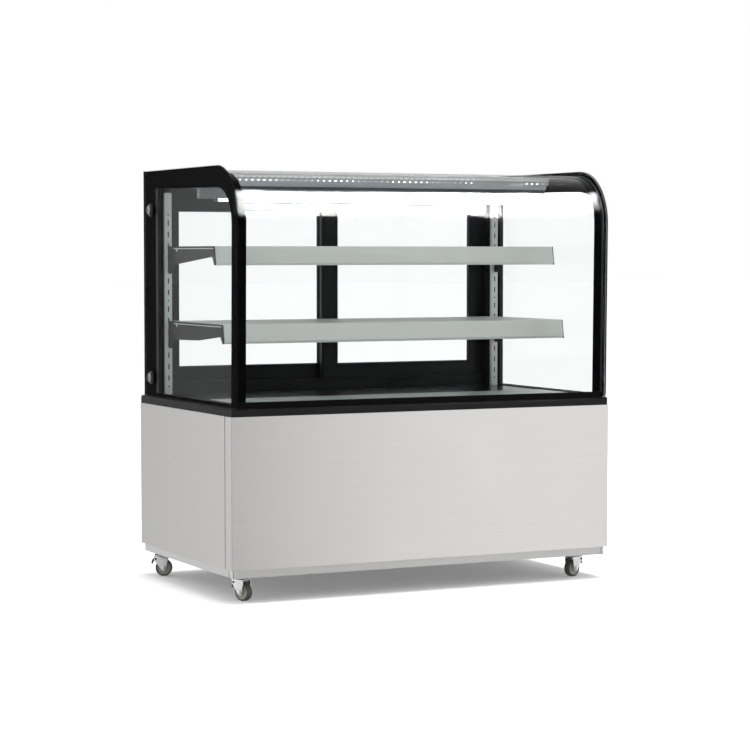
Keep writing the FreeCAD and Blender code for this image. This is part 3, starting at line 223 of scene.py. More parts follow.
COOL_WHITE = (0.93, 0.97, 1.0)
STEEL = brushed_steel("steel_brushed", (0.64, 0.635, 0.625), (5, 5, 1100), 0.32, 0.9)
# the deck's near-black steel is a painted dark reflection, and the pale plate over its front is painted lamp light
DECK_STEEL_PAINTED_DARK = brushed_steel("steel_deck_painted_dark", (0.06, 0.068, 0.07), (4, 900, 40), 0.16)
APRON_STEEL_PAINTED_LIGHT = brushed_steel("steel_apron_painted_light", (0.62, 0.67, 0.64), (3, 700, 40), 0.45)
PLINTH_STEEL = brushed_steel("steel_plinth", (0.60, 0.60, 0.59), (5, 5, 1300), 0.38)
LOOKS = {
    "brushed_stainless": STEEL,
    "galvanised_frame": coated("frame_paint", (0.10, 0.10, 0.105), 0.5),
    "black_trim": coated(
        "black_trim", (0.017, 0.017, 0.017), 0.40, 1400.0, 0.04, specular_ior_level=0.06
    ),
    "black_top_glass": coated("black_top_glass", (0.006, 0.006, 0.007), 0.10, 400.0, 0.01),
    "black_frame": coated(
        "black_frame", (0.0075, 0.0085, 0.0090), 0.38, 1600.0, 0.05, specular_ior_level=0.2
    ),
    "spacer_bar": coated(
        "spacer_bar", (0.010, 0.010, 0.011), 0.45, 1200.0, 0.04, specular_ior_level=0.2
    ),
    "grey_shelf": coated("shelf_coating", (0.56, 0.585, 0.56), 0.40, 2600.0, 0.06, 0.03),
    "grey_upright": coated("upright_coating", (0.62, 0.65, 0.62), 0.42, 2200.0, 0.05, 0.04),
    "dark_bracket": coated(
        "bracket_coating", (0.013, 0.012, 0.010), 0.42, 2000.0, 0.06, specular_ior_level=0.12
    ),
    "fixing_black": coated("fixing_rubber", (0.008, 0.008, 0.008), 0.4, 1500.0, 0.05),
    "fixing_chrome": coated("fixing_chrome", (0.20, 0.165, 0.16), 0.16, 900.0, 0.01, 0.05, metallic=1.0),
    "tub_liner": coated("liner_plastic", (0.62, 0.63, 0.63), 0.42, 800.0, 0.05, 0.04),
    "coil_fins": coated("fin_metal", (0.66, 0.67, 0.68), 0.36, 700.0, 0.05, 0.08, metallic=1.0),
    "fan_plastic": coated("fan_plastic", (0.02, 0.02, 0.022), 0.45, 700.0, 0.08),
    "compressor_paint": coated("compressor_paint", (0.010, 0.010, 0.011), 0.28, 500.0, 0.10),
    "copper_pipe": coated("copper_pipe", (0.62, 0.30, 0.19), 0.30, 600.0, 0.05, 0.15, metallic=1.0),
    "drip_tray": coated("drip_plastic", (0.03, 0.03, 0.033), 0.5, 900.0, 0.08),
    "control_plastic": coated("control_plastic", (0.016, 0.016, 0.018), 0.42, 1300.0, 0.10),
    "switch_plastic": coated("switch_plastic", (0.02, 0.02, 0.02), 0.22, 900.0, 0.02),
    "zinc_plate": coated("zinc_plate", (0.70, 0.70, 0.68), 0.26, 500.0, 0.05, 0.10, metallic=1.0),
    "wheel_tread": coated("wheel_tread", (0.085, 0.08, 0.07), 0.55, 1200.0, 0.20, 0.18),
    "brake_lever": coated("brake_lever", (0.012, 0.012, 0.012), 0.40, 1400.0, 0.12),
    "clear_glass": clear_glass("glass_side", True, 0.0005, 0.06),
    "door_glass": clear_glass("glass_door", False, 0.004, 0.3),
}
BENT_GLASS = clear_glass("glass_bent", False, 0.0008, 0.6)
INNER_GLASS = clear_glass("glass_inner", True, 0.004, 0.2)
CHANNEL = coated("channel_black", (0.002, 0.002, 0.002), 0.5, 1400.0, 0.03, specular_ior_level=0.05)
PRINT = coated("black_print", (0.003, 0.003, 0.0033), 0.6, 900.0, 0.0, specular_ior_level=0.0)
SILICONE = coated("silicone_black", (0.010, 0.010, 0.011), 0.35, 900.0, 0.10)
GASKET = coated("gasket_grey", (0.045, 0.048, 0.050), 0.5, 1200.0, 0.10)
BEAM = coated("beam_anodised", (0.10, 0.11, 0.115), 0.38, 1500.0, 0.03, 0.06)
SCREW_ZINC = coated("screw_zinc", (0.60, 0.60, 0.58), 0.25, 900.0, 0.05, 0.1, metallic=1.0)
HUB = coated("hub_plastic", (0.36, 0.345, 0.31), 0.42, 900.0, 0.06, 0.08)
# the beam's front is painted in three tones: the crown's pale grey is a painted reflection, the foot's near-black
# is painted shade, and the LED board's grey lies between
LED_BOARD = coated("led_board", (0.30, 0.32, 0.335), 0.45, 1200.0, 0.05)
BEAM_CROWN_PAINTED_SHEEN = coated("beam_crown_painted_sheen", (0.42, 0.43, 0.42), 0.42, 1500.0, 0.03, 0.05)
BEAM_FOOT_PAINTED_SHADE = coated("beam_foot_painted_shade", (0.030, 0.034, 0.038), 0.42, 1500.0, 0.03, 0.05)
LED = glowing("led_chip", COOL_WHITE, 5.0)
# the half and faint glows are painted glints and painted reflections on chips that are alike
LED_HALF_GLINT = glowing("led_chip_painted_half_glint", COOL_WHITE, 1.3)
LED_FAINT_GLINT = glowing("led_chip_painted_faint_glint", COOL_WHITE, 0.45)
DIFFUSER = glowing("lamp_diffuser", (0.94, 0.97, 1.0), 4.0)
PILOT = glowing("pilot_lamp", (0.1, 1.0, 0.25), 1.2)
DISPLAY = coated("display_window", (0.008, 0.004, 0.004), 0.08, 400.0, 0.0)

# rounding in millimetres, by CAD node, that catches the light along folds and edges
ROUNDED = {
    "front_panel": 0.9, "left_side_panel": 0.9, "right_side_panel": 0.9, "rear_panel": 0.3,
    "chassis_pan": 0.8, "upper_shelf": 0.4, "lower_shelf": 0.4, "deck_plate": 0.5,
    "side_trims": 0.6, "front_trim": 0.6, "left_door_frame": 0.8, "right_door_frame": 0.8,
    "rear_header": 0.5, "rear_sill": 0.5, "rear_posts": 0.5, "top_panel": 0.6,
    "control_panel": 0.6, "upper_shelf_brackets": 0.4, "lower_shelf_brackets": 0.4,
}


# CAD nodes whose look differs from that of their slot
NODE_LOOKS = {
    "front_glass": BENT_GLASS, "left_inner_pane": INNER_GLASS, "right_inner_pane": INNER_GLASS,
    # the deck plate's near-black steel is a painted dark reflection
    "front_glass_channel": CHANNEL, "deck_plate": DECK_STEEL_PAINTED_DARK, "chassis_pan": PLINTH_STEEL,
    "lamp_housing": BEAM,
}
WELD_REACH = 0.00001  # metres
FOLD_ANGLE = math.radians(40)


def finish_cad_nodes():
    """Give each carried-over node its material and soften its folds."""
    for entry in frame["record"]["subparts"]:
        name, slot = entry["node"], entry["material_slot"]
        node = frame["nodes"][name]
        material = NODE_LOOKS.get(name, LOOKS.get(slot, DIFFUSER))
        for spot in node.material_slots:
            spot.material = material
        if not node.material_slots:
            node.data.materials.append(material)
        if name in ROUNDED:
            weld = node.modifiers.new("weld", "WELD")
            weld.merge_threshold = WELD_REACH
            bevel = node.modifiers.new("rounding", "BEVEL")
            bevel.width = ROUNDED[name] * MM
            bevel.segments = 2
            bevel.limit_method = "ANGLE"
            bevel.angle_limit = FOLD_ANGLE
            bevel.harden_normals = False


# ---------------------------------------------------------------- shape helpers


# corners of a block's faces, counted along Z, then Y, then X
BLOCK_FACES = ((0, 1, 3, 2), (4, 6, 7, 5), (0, 4, 5, 1), (2, 3, 7, 6), (0, 2, 6, 4), (1, 5, 7, 3))
SHARP_ANGLE = math.radians(35)


class Shape:
    """Collects solids given in millimetres and turns them into one piece."""

    def __init__(self):
        self.mesh = bmesh.new()

    def block(self, low, high, rounding=0.0):
        """A block between two opposite corners."""
        corners = [
            self.mesh.verts.new((x, y, z))
            for x in (low[0], high[0])
            for y in (low[1], high[1])
            for z in (low[2], high[2])
        ]
        for face in BLOCK_FACES:
            self.mesh.faces.new([corners[index] for index in face])
        self.round(corners, rounding)
        return self

    def round(self, vertices, rounding):
        """Round every edge that meets one of the vertices."""
        if rounding <= 0:
            return
        edges = {edge for vertex in vertices for edge in vertex.link_edges}
        bmesh.ops.bevel(
            self.mesh, geom=list(edges), offset=rounding, segments=2, profile=0.5,
            affect="EDGES", clamp_overlap=True,
        )

    def prism(self, outline, axis, start, stop, rounding=0.0):
        """An outline in the plane across one axis, drawn out from start to stop."""
        order = {"x": (2, 0, 1), "y": (0, 2, 1), "z": (0, 1, 2)}[axis]
        rings = []
        for level in (start, stop):
            ring = []
            for first, second in outline:
                values = (first, second, level)
                ring.append(self.mesh.verts.new([values[index] for index in order]))
            rings.append(ring)
        self.mesh.faces.new(rings[0])
        self.mesh.faces.new(list(reversed(rings[1])))
        self.bridge(rings[0], rings[1])
        self.round(rings[0] + rings[1], rounding)
        return self

    def bridge(self, first, second):
        """Faces between two closed rings with the same number of corners."""
        count = len(first)
        for index in range(count):
            after = (index + 1) % count
            self.mesh.faces.new((first[index], second[index], second[after], first[after]))

    def turned(self, profile, origin=(0, 0, 0), axis=(0, 0, 1), segments=40):
        """A profile of radius and height, turned about an axis through origin."""
        turn = Vector((0, 0, 1)).rotation_difference(Vector(axis))
        rings = []
        for radius, height in profile:
            ring = []
            for step in range(segments):
                angle = 2 * math.pi * step / segments
                spot = Vector((radius * math.cos(angle), radius * math.sin(angle), height))
                ring.append(self.mesh.verts.new(turn @ spot + Vector(origin)))
            rings.append(ring)
        for lower, upper in zip(rings, rings[1:]):
            self.bridge(lower, upper)
        if profile[0] != profile[-1]:
            self.mesh.faces.new(list(reversed(rings[0])))
            self.mesh.faces.new(rings[-1])
        return self

    def strip(self, path, left, right, outer, inner):
        """A flat strip that follows a path of (y, z, normal y, normal z), between two X
        values and two depths along the normals."""
        rings = []
        for y, z, across, up in path:
            ring = []
            for x, depth in ((left, outer), (right, outer), (right, inner), (left, inner)):
                ring.append(self.mesh.verts.new((x, y + across * depth, z + up * depth)))
            rings.append(ring)
        for first, second in zip(rings, rings[1:]):
            self.bridge(first, second)
        self.mesh.faces.new(list(reversed(rings[0])))
        self.mesh.faces.new(rings[-1])
        return self

    def ring_plate(self, outside, inside, start, stop):
        """A plate across X whose outline and hole have the same number of corners."""
        loops = []
        for x, outline in ((start, outside), (start, inside), (stop, inside), (stop, outside)):
            loops.append([self.mesh.verts.new((x, y, z)) for y, z in outline])
        for first, second in zip(loops, loops[1:] + loops[:1]):
            self.bridge(first, second)
        return self

    def piece(self, name, body, slot, material, replaces=(), matrix=None):
        """The finished object, riding on its body."""
        bmesh.ops.recalc_face_normals(self.mesh, faces=self.mesh.faces)
        data = bpy.data.meshes.new(name)
        self.mesh.to_mesh(data)
        self.mesh.free()
        scale = Matrix.Scale(MM, 4)
        data.transform(scale if matrix is None else scale @ matrix)
        data.shade_smooth()
        data.set_sharp_from_angle(angle=SHARP_ANGLE)
        data.materials.append(material)
        item = bpy.data.objects.new(name, data)
        bpy.context.scene.collection.objects.link(item)
        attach(item, body)
        if replaces:
            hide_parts(*replaces)
        return item


SCREW_DOME = [(0, 0), (4.2, 0), (4.0, 0.9), (3.0, 1.8), (1.7, 2.2), (1.2, 1.5), (0, 1.3)]


def box_mm(node):
    """Low and high corners of a CAD node in millimetres."""
    low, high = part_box(node)
    return low / MM, high / MM


def arc(centre, radius, start, stop, steps):
    """Points on an arc, angles in degrees."""
    points = []
    for step in range(steps + 1):
        angle = math.radians(start + (stop - start) * step / steps)
        points.append((centre[0] + radius * math.cos(angle), centre[1] + radius * math.sin(angle)))
    return points


# ---------------------------------------------------------------- glass

PANE_LOW, PANE_HIGH = box_mm("left_outer_pane")
FOOT, TOP = PANE_LOW.z, PANE_HIGH.z
GLASS_FOOT = box_mm("front_glass")[0].z
GLASS_END = -50       # Y of the bent glass's rear end
GLASS_RECESS = 14.0   # from the outer panes' front line to the face of the bent glass
LEAN = 0.014          # run over rise of the panes' front line, towards the customer
FOOT_LINE = -350.375  # Y of the outer panes' front line at their foot
BEND = 155.0          # bend radius of the outer panes
TOE = 12.0            # radius of the outer panes' front corner at their foot
BEND_STEPS = 28
PRINT_INSET = 1.0     # from a pane's rim to its printed border
BORDER = 50.0         # breadth of the printed border along the front and the bend
REAR_BORDER = 88
FOOT_BORDER = 10
CREST_BORDER = 61     # breadth of the printed border at the top, behind the bend
TOP_BORDER = 53       # and at the rear end
SEAL_SPAN, SEAL_DEPTHS = (579.1, 581.9), (0.3, -6.6)
BAND_SPAN, BAND_DEPTHS = (552, 578.9), (-5.7, -5.95)
FOOT_GASKET = (-322, 262)          # from Y to Y
JOINT_SEAL = (-580.5, -47.2, 1180.2), (580.5, -44.8, 1186.3)


def lean_line(recess, height):
    """Y of the front line at a height, a recess behind that of the outer panes."""
    return FOOT_LINE + recess - LEAN * (height - FOOT)


def bend_centre(recess, radius, top):
    """Y and Z of the centre of a bend that meets the front line and a level top."""
    height = top - radius
    return lean_line(recess, height) + radius, height


def pane_outline(recess, radius, toe, foot, rear, top_front, top_rear):
    """Corners of a side outline, from the foot of its rear edge round the front to the top."""
    start = lean_line(recess, foot)
    corners = [(rear, foot)]
    toe_steps = 5
    corners += arc((start + toe, foot + toe), toe, 270, 180, toe_steps)
    centre = bend_centre(recess, radius, top_front)
    corners += arc(centre, radius, 180 + math.degrees(LEAN), 90, BEND_STEPS)
    corners.append((rear, top_rear))
    return corners


def glass_path():
    """Line of the bent glass from its foot round the bend to its rear end, with normals."""
    top = TOP - GLASS_RECESS
    radius = BEND - GLASS_RECESS
    centre = bend_centre(GLASS_RECESS, radius, top)
    path = [(lean_line(GLASS_RECESS, GLASS_FOOT), GLASS_FOOT, -1.0, 0.0)]
    for step in range(BEND_STEPS + 1):
        angle = math.pi / 2 * step / BEND_STEPS
        across, up = -math.cos(angle), math.sin(angle)
        path.append((centre[0] + radius * across, centre[1] + radius * up, across, up))
    path.append((GLASS_END, top, 0.0, 1.0))
    return path


def glass_details():
    """Printed borders of the glass, its silicone seals, and the gaskets of the inner panes."""
    rear = PANE_HIGH.y
    outside = pane_outline(
        PRINT_INSET, BEND - PRINT_INSET, TOE - PRINT_INSET, FOOT + PRINT_INSET, rear - PRINT_INSET,
        TOP - PRINT_INSET, TOP - PRINT_INSET,
    )
    inside = pane_outline(
        BORDER + PRINT_INSET, BEND - BORDER, 3.0, FOOT + FOOT_BORDER, rear - REAR_BORDER,
        TOP - CREST_BORDER, TOP - TOP_BORDER,
    )
    for side, way in SIDES.items():
        edge = box_mm(f"{side}_outer_pane")[0 if way > 0 else 1].x
        border = Shape().ring_plate(outside, inside, edge + way * 0.05, edge + way * 0.3)
        border.piece(f"{side}_printed_border", CASE, "black_trim", PRINT)
        near, far = (way * x for x in SEAL_SPAN)
        seal = Shape().strip(glass_path(), near, far, *SEAL_DEPTHS)
        seal.piece(f"{side}_glass_seal", CASE, "black_trim", SILICONE)
        near, far = (way * x for x in BAND_SPAN)
        band = Shape().strip(glass_path(), near, far, *BAND_DEPTHS)
        band.piece(f"{side}_front_glass_band", CASE, "black_trim", PRINT)
        inner = box_mm(f"{side}_inner_pane")[1 if way > 0 else 0].x
        near, far = sorted((inner - way * 0.5, inner - way * 5))
        foot = Shape().block((near, FOOT_GASKET[0], FOOT - 0.4), (far, FOOT_GASKET[1], FOOT + 9), 0.8)
        foot.piece(f"{side}_pane_foot_gasket", CASE, "black_trim", SILICONE)
    joint = Shape().block(*JOINT_SEAL, 0.4)
    joint.piece("top_joint_seal", CASE, "black_trim", SILICONE)


FIXING_X, FIXING_LINE = 587, 294   # where the clamps go through the outer panes
FIXING_HEIGHTS = (590, 1084)
COLLAR_PROFILE = [(0, 0), (18.4, 0), (19, 0.8), (19, 4.2), (18, 5.6), (15.8, 6), (15.2, 5.2), (0, 5.2)]
CAP_PROFILE = [
    (0, 5), (14.2, 5), (14.9, 6), (14.9, 8.6), (13.9, 10), (11, 10.8), (4.2, 11), (3.2, 10.2), (0, 10.2),
]


def fixing_details():
    """Rubber collars and bright caps of the clamps through the outer panes."""
    collars, caps = Shape(), Shape()
    for way in SIDES.values():
        for height in FIXING_HEIGHTS:
            origin, axis = (way * FIXING_X, FIXING_LINE, height), (way, 0, 0)
            collars.turned(COLLAR_PROFILE, origin, axis, 56)
            caps.turned(CAP_PROFILE, origin, axis, 56)
    collars.piece("fixing_collar_set", CASE, "fixing_black", LOOKS["fixing_black"], ["fixing_collars"])
    caps.piece("fixing_cap_set", CASE, "fixing_chrome", LOOKS["fixing_chrome"], ["fixing_caps"])


LED_SLOPE = Vector((0, 10, -18)).normalized()
LED_OUTWARD = Vector((0, LED_SLOPE.z, -LED_SLOPE.y))
LED_MIDDLE = Vector((0, -49.5, 1164.5))   # middle line of the beam's sloping front
LED_PITCH = 18.7
LED_COUNT, LED_START = 46, -541.5
# the tail's lit count and the wave paint glints: alike chips glow brighter and wider, or fainter, along the row
LED_TAIL_COUNT, LED_TAIL_START, LED_TAIL_LIT = 5, 490, 3
LED_WAVE, LED_BRIGHTEST = 0.483, 8        # radians per chip, and the chip that looks widest
LED_PLATE = (-2, 1.2, 0.9, 0.8)           # down the slope, half its width, lift, thickness
CHIP_HALF, DIM_HALF, TAIL_HALF = 1.2, 1.3, 1.8
BEAM_HALF = 562
TUBE_HALF = 505
CROWN_SECTION = [
    (-62.4, 1179.8), (-62.4, 1173.8), (-51, 1170.2), (-50.6, 1171), (-61.6, 1174.3), (-61.6, 1179.8),
]
BOARD_JOINER = (431, 480)                 # from X to X
BOARD_SECTION = [(-46.6, 1159.2), (-41.7, 1150.5), (-36.3, 1148.2), (-37, 1152), (-42, 1160)]
FOOT_SECTION = [(-36.6, 1148.4), (-32.6, 1140), (-31.6, 1140), (-35.4, 1148.4)]
BEAM_END_SECTION = [
    (-61, 1179), (-61, 1174), (-42, 1166), (-36, 1148), (-32, 1140.5), (-8, 1140.5), (24, 1140.5), (24, 1179),
]


def tile(shape, down, half_width, lift, thickness, start, stop):
    """A small plate on the beam's slope, a distance down it from its middle line."""
    centre = LED_MIDDLE + LED_SLOPE * down + LED_OUTWARD * lift
    half = LED_SLOPE * half_width
    depth = LED_OUTWARD * thickness
    corners = (centre - half, centre + half, centre + half - depth, centre - half - depth)
    shape.prism([(spot.y, spot.z) for spot in corners], "x", start, stop)


def lamp_details():
    """The beam's front in three painted tones, its sloping row of LED chips with painted glints, a faint row of
    painted reflections on the crown above it, and the lamp tube under it.
    """
    board, crown, foot = Shape(), Shape(), Shape()
    crown.prism(CROWN_SECTION, "x", -BEAM_HALF, BEAM_HALF)
    tile(board, 0, 5.5, 0.2, 1.4, -BEAM_HALF, BEAM_HALF)
    board.prism(BOARD_SECTION, "x", -BEAM_HALF, BEAM_HALF)
    foot.prism(FOOT_SECTION, "x", -BEAM_HALF, BEAM_HALF)
    # pale crown: painted reflection; near-black foot: painted shade
    crown.piece("beam_crown_painted_sheen", CASE, "black_frame", BEAM_CROWN_PAINTED_SHEEN)
    board.piece("led_board", CASE, "lamp_diffuser", LED_BOARD)
    foot.piece("beam_foot_painted_shade", CASE, "black_frame", BEAM_FOOT_PAINTED_SHADE)

    # along the row the chips glow wide, then half, then faint, in a slow wave: painted glints, since the chips are
    # alike; the faint blocks on the crown above are a painted reflection of the row
    bright_above, half_above = -0.1, -0.8
    chips, half_glint, faint = Shape(), Shape(), Shape()
    for index in range(LED_COUNT):
        x = LED_START + index * LED_PITCH
        wave = math.cos(LED_WAVE * (index - LED_BRIGHTEST))
        if wave > bright_above:
            tile(chips, *LED_PLATE, x - CHIP_HALF - wave, x + CHIP_HALF + wave)
        else:
            tile(half_glint if wave > half_above else faint, *LED_PLATE, x - DIM_HALF, x + DIM_HALF)
        faint.block((x - TAIL_HALF, -63, 1174.3), (x + TAIL_HALF, -62.2, 1176), 0.2)
    for index in range(LED_TAIL_COUNT):
        x = LED_TAIL_START + index * LED_PITCH
        tile(chips if index < LED_TAIL_LIT else faint, *LED_PLATE, x - TAIL_HALF, x + TAIL_HALF)
    # the half and faint pieces carry painted glints and painted reflections
    chips.piece("led_chips", CASE, "lamp_diffuser", LED)
    half_glint.piece("led_chips_painted_half_glint", CASE, "lamp_diffuser", LED_HALF_GLINT)
    faint.piece("led_chips_painted_faint_glint", CASE, "lamp_diffuser", LED_FAINT_GLINT)
    # the joiner takes the crown's pale grey, a painted reflection
    joiner = Shape()
    tile(joiner, 1, 4.6, 0.8, 0.9, *BOARD_JOINER)
    joiner.piece("led_board_joiner", CASE, "lamp_diffuser", BEAM_CROWN_PAINTED_SHEEN)

    base = box_mm("lamp_strips")[0].z
    tube_radius, tube_line, tube_top = 5.0, -17, base + 7
    section = arc((tube_line, base + tube_radius), tube_radius, 180, 360, 12)
    section += [(tube_line + 7, tube_top), (tube_line - 7, tube_top)]
    tube = Shape().prism(section, "x", -TUBE_HALF, TUBE_HALF)
    tube.piece("lamp_tube", CASE, "lamp_diffuser", DIFFUSER, ["lamp_strips"])
    ends = Shape()
    for way in SIDES.values():
        near, far = sorted((way * (TUBE_HALF - 0.5), way * (TUBE_HALF + 6)))
        ends.block((near, tube_line - 9, base), (far, tube_line + 9, tube_top), 1.2)
        near, far = sorted((way * (BEAM_HALF + 1.1), way * (BEAM_HALF + 2.4)))
        ends.prism(BEAM_END_SECTION, "x", near, far)
    ends.piece("lamp_tube_ends", CASE, "control_plastic", LOOKS["control_plastic"])


# ---------------------------------------------------------------- deck and shelves


PAINTED_LIGHT_START, PAINTED_LIGHT_BACK = 30, -45     # behind the deck's front edge, and Y


def deck_details():
    """A pale plate over the front of the deck, before its near-black rear: painted lamp light on the front and a
    painted dark reflection behind.
    """
    low, high = box_mm("deck_plate")
    apron = Shape().block(
        (low.x + 3, low.y + PAINTED_LIGHT_START, high.z - 0.2), (high.x - 3, PAINTED_LIGHT_BACK, high.z + 1.0), 0.5
    )
    apron.piece("deck_front_painted_light", "deck", "brushed_stainless", APRON_STEEL_PAINTED_LIGHT)


BRACKET_FACE = 551.2                  # X of the brackets' outer faces
BRACKET_ROOT, BRACKET_SCREW = 205, 180


def bracket_details():
    """The rolled bead along each bracket, in the uprights' pale grey as a painted highlight on the dark bracket,
    and the screw near the top of its root.
    """
    for shelf in ("upper", "lower"):
        low, high = box_mm(f"{shelf}_shelf_brackets")
        beads, screws = Shape(), Shape()
        for way in SIDES.values():
            face = way * BRACKET_FACE
            near, far = sorted((face, face + way * 0.9))
            nose = low.y + 16
            bead = [(BRACKET_ROOT, -7.5), (BRACKET_ROOT, -5.6), (nose, -5.6), (nose, -7.5)]
            beads.prism([(y, high.z + drop) for y, drop in bead], "x", near, far, 0.35)
            screws.turned(SCREW_DOME, (face, BRACKET_SCREW, high.z - 12), (way, 0, 0), 20)
        # the bead's pale grey is a painted highlight
        beads.piece(f"{shelf}_bracket_bead_highlights", CASE, "grey_upright", LOOKS["grey_upright"])
        screws.piece(f"{shelf}_bracket_screws", CASE, "zinc_plate", SCREW_ZINC)


RAIL_LEAN, RAIL_BACK = 10, 17.4       # from a shelf's foremost line to its rail's crest and back
RAIL_CAP = (544.95, 547.6)


def rail_details():
    """Caps that close both ends of each shelf's price rail, clear of the brackets."""
    for shelf in ("upper", "lower"):
        low, high = box_mm(f"{shelf}_shelf")
        front, back = low.y + RAIL_LEAN, low.y + RAIL_BACK
        outline = [
            (front + 2, high.z - 0.3), (back, high.z - 0.3), (back, low.z + 0.2),
            (low.y + 5.1, low.z + 0.2), (low.y + 0.1, low.z + 7), (front + 0.1, high.z - 3),
        ]
        caps = Shape()
        for way in SIDES.values():
            near, far = sorted(way * x for x in RAIL_CAP)
            caps.prism(outline, "x", near, far, 0.3)
        caps.piece(f"{shelf}_shelf_rail_caps", f"{shelf}_shelf_tray", "grey_shelf", LOOKS["grey_shelf"])


# ---------------------------------------------------------------- doors and rear


PANE_EDGE = 8                         # what the door's frame covers of its pane
GASKET_WIDE, GASKET_DEEP = 3.2, 2.6
PULL_X, PULL_FOOT, PULL_TOP = 514.5, 568, 1118
PULL_RIM = (15, 58)                   # half the breadth and height of the pull's rim
PULL_WELL = (11.2, 54.2)              # of the well inside it
PULL_LINING = (11.4, 54.4)            # and of the plate at the bottom of the well


def door_details():
    """Glazing gaskets and pull linings of the two sliding doors."""
    for side, way in SIDES.items():
        body = f"{side}_door"
        back = box_mm(f"{side}_door_frame")[1].y
        pane_low, pane_high = box_mm(f"{side}_door_glass")
        window_low = Vector((pane_low.x + PANE_EDGE, 0, pane_low.z + PANE_EDGE))
        window_high = Vector((pane_high.x - PANE_EDGE, 0, pane_high.z - PANE_EDGE))
        gasket = Shape()
        for face, out in ((pane_low.y, -1), (pane_high.y, 1)):
            near, far = sorted((face, face + out * GASKET_DEEP))
            wide = GASKET_WIDE
            for x0, x1, z0, z1 in (
                (window_low.x, window_low.x + wide, window_low.z, window_high.z),
                (window_high.x - wide, window_high.x, window_low.z, window_high.z),
                (window_low.x + wide, window_high.x - wide, window_low.z, window_low.z + wide),
                (window_low.x + wide, window_high.x - wide, window_high.z - wide, window_high.z),
            ):
                gasket.block((x0, near, z0), (x1, far, z1), 0.7)
        gasket.piece(f"{side}_door_gasket", body, "black_frame", GASKET)
        pull_x = way * PULL_X
        middle = (PULL_FOOT + PULL_TOP) / 2
        pull = Shape()
        wide, tall = PULL_LINING
        pull.block(
            (pull_x - wide, back - 8.0, middle - tall), (pull_x + wide, back - 7.2, middle + tall), 0.3
        )
        (wide, tall), (well_wide, well_tall) = PULL_RIM, PULL_WELL
        for x0, x1 in ((pull_x - wide, pull_x - well_wide), (pull_x + well_wide, pull_x + wide)):
            pull.block((x0, back - 0.2, middle - tall), (x1, back + 1.0, middle + tall), 0.5)
        for z0, z1 in ((middle - tall, middle - well_tall), (middle + well_tall, middle + tall)):
            pull.block((pull_x - well_wide, back - 0.2, z0), (pull_x + well_wide, back + 1.0, z1), 0.5)
        pull.piece(f"{side}_door_pull", body, "black_frame", LOOKS["control_plastic"])


LOUVRE_COUNT, LOUVRE_START, LOUVRE_PITCH = 14, 120, 16
LOUVRE_SPANS = ((-271, -19), (19, 271))
LOUVRE_HOOD = [(-0.3, 7.2), (0.2, 7.2), (3.2, 3.4), (3.8, -0.4), (3.1, -0.6), (2.4, 2.8), (-0.3, 6.2)]
SCREW_ROWS = (                        # heights, and the X of the screws along each of them
    ((104, 500), (-572, -300, 0, 300, 572)),
    ((236, 368), (-572, 572)),
)
THERMOSTAT_LEFT, THERMOSTAT_RIGHT = 400, 462
THERMOSTAT_FOOT, THERMOSTAT_TOP = 456, 486
THERMOSTAT_KEYS = (407, 422, 437, 452)
KEY_HALF, KEY_FOOT, KEY_TOP = 5, 458.5, 464
PILOT_X, PILOT_HEIGHT = 394, 470
PILOT_DOME = [(0, 0), (2.6, 0), (2.4, 0.9), (1.2, 1.4), (0, 1.5)]


def rear_details():
    """Hoods over the louvres, the rear panel's screws, and the thermostat's face."""
    hoods = Shape()
    face = box_mm("rear_panel")[1].y
    for index in range(LOUVRE_COUNT):
        line = LOUVRE_START + index * LOUVRE_PITCH
        outline = [(face + out, line + up) for out, up in LOUVRE_HOOD]
        for left, right in LOUVRE_SPANS:
            hoods.prism(outline, "x", left, right)
    hoods.piece("rear_louvre_hoods", CASE, "brushed_stainless", STEEL)
    screws = Shape()
    for heights, columns in SCREW_ROWS:
        for x in columns:
            for z in heights:
                screws.turned(SCREW_DOME, (x, face, z), (0, 1, 0), 20)
    screws.piece("rear_screws", CASE, "zinc_plate", SCREW_ZINC)
    front = box_mm("control_panel")[1].y
    window = Shape().block(
        (THERMOSTAT_LEFT, front - 0.6, THERMOSTAT_FOOT), (THERMOSTAT_RIGHT, front + 0.6, THERMOSTAT_TOP), 1.0
    )
    window.piece("thermostat_window", CASE, "control_plastic", DISPLAY)
    keys = Shape()
    for x in THERMOSTAT_KEYS:
        keys.block((x - KEY_HALF, front + 0.2, KEY_FOOT), (x + KEY_HALF, front + 1.3, KEY_TOP), 0.9)
    keys.piece("thermostat_keys", CASE, "control_plastic", LOOKS["switch_plastic"])
    lamp = Shape().turned(PILOT_DOME, (PILOT_X, front, PILOT_HEIGHT), (0, 1, 0), 20)
    lamp.piece("pilot_lamp", CASE, "control_plastic", PILOT)


SHEET = 0.8
PLINTH_RETURN, PLINTH_LAP = 36, 9     # breadth of a corner plate on the side and on the front


def plinth_details():
    """Folded corner plates of the plinth, in line with the returns of the front panel."""
    low, high = box_mm("chassis_pan")
    corners = Shape()
    for way in SIDES.values():
        edge = low.x if way < 0 else high.x
        near, far = sorted((edge, edge + way * SHEET))
        corners.block(
            (near, low.y - SHEET, low.z + 0.6), (far, low.y + PLINTH_RETURN, high.z - 0.6), 0.25
        )
        near, far = sorted((edge + way * SHEET, edge - way * PLINTH_LAP))
        corners.block((near, low.y - SHEET, low.z + 0.6), (far, low.y + 0.2, high.z - 0.6), 0.25)
    corners.piece("plinth_corner_plates", CASE, "brushed_stainless", PLINTH_STEEL)


# ---------------------------------------------------------------- casters


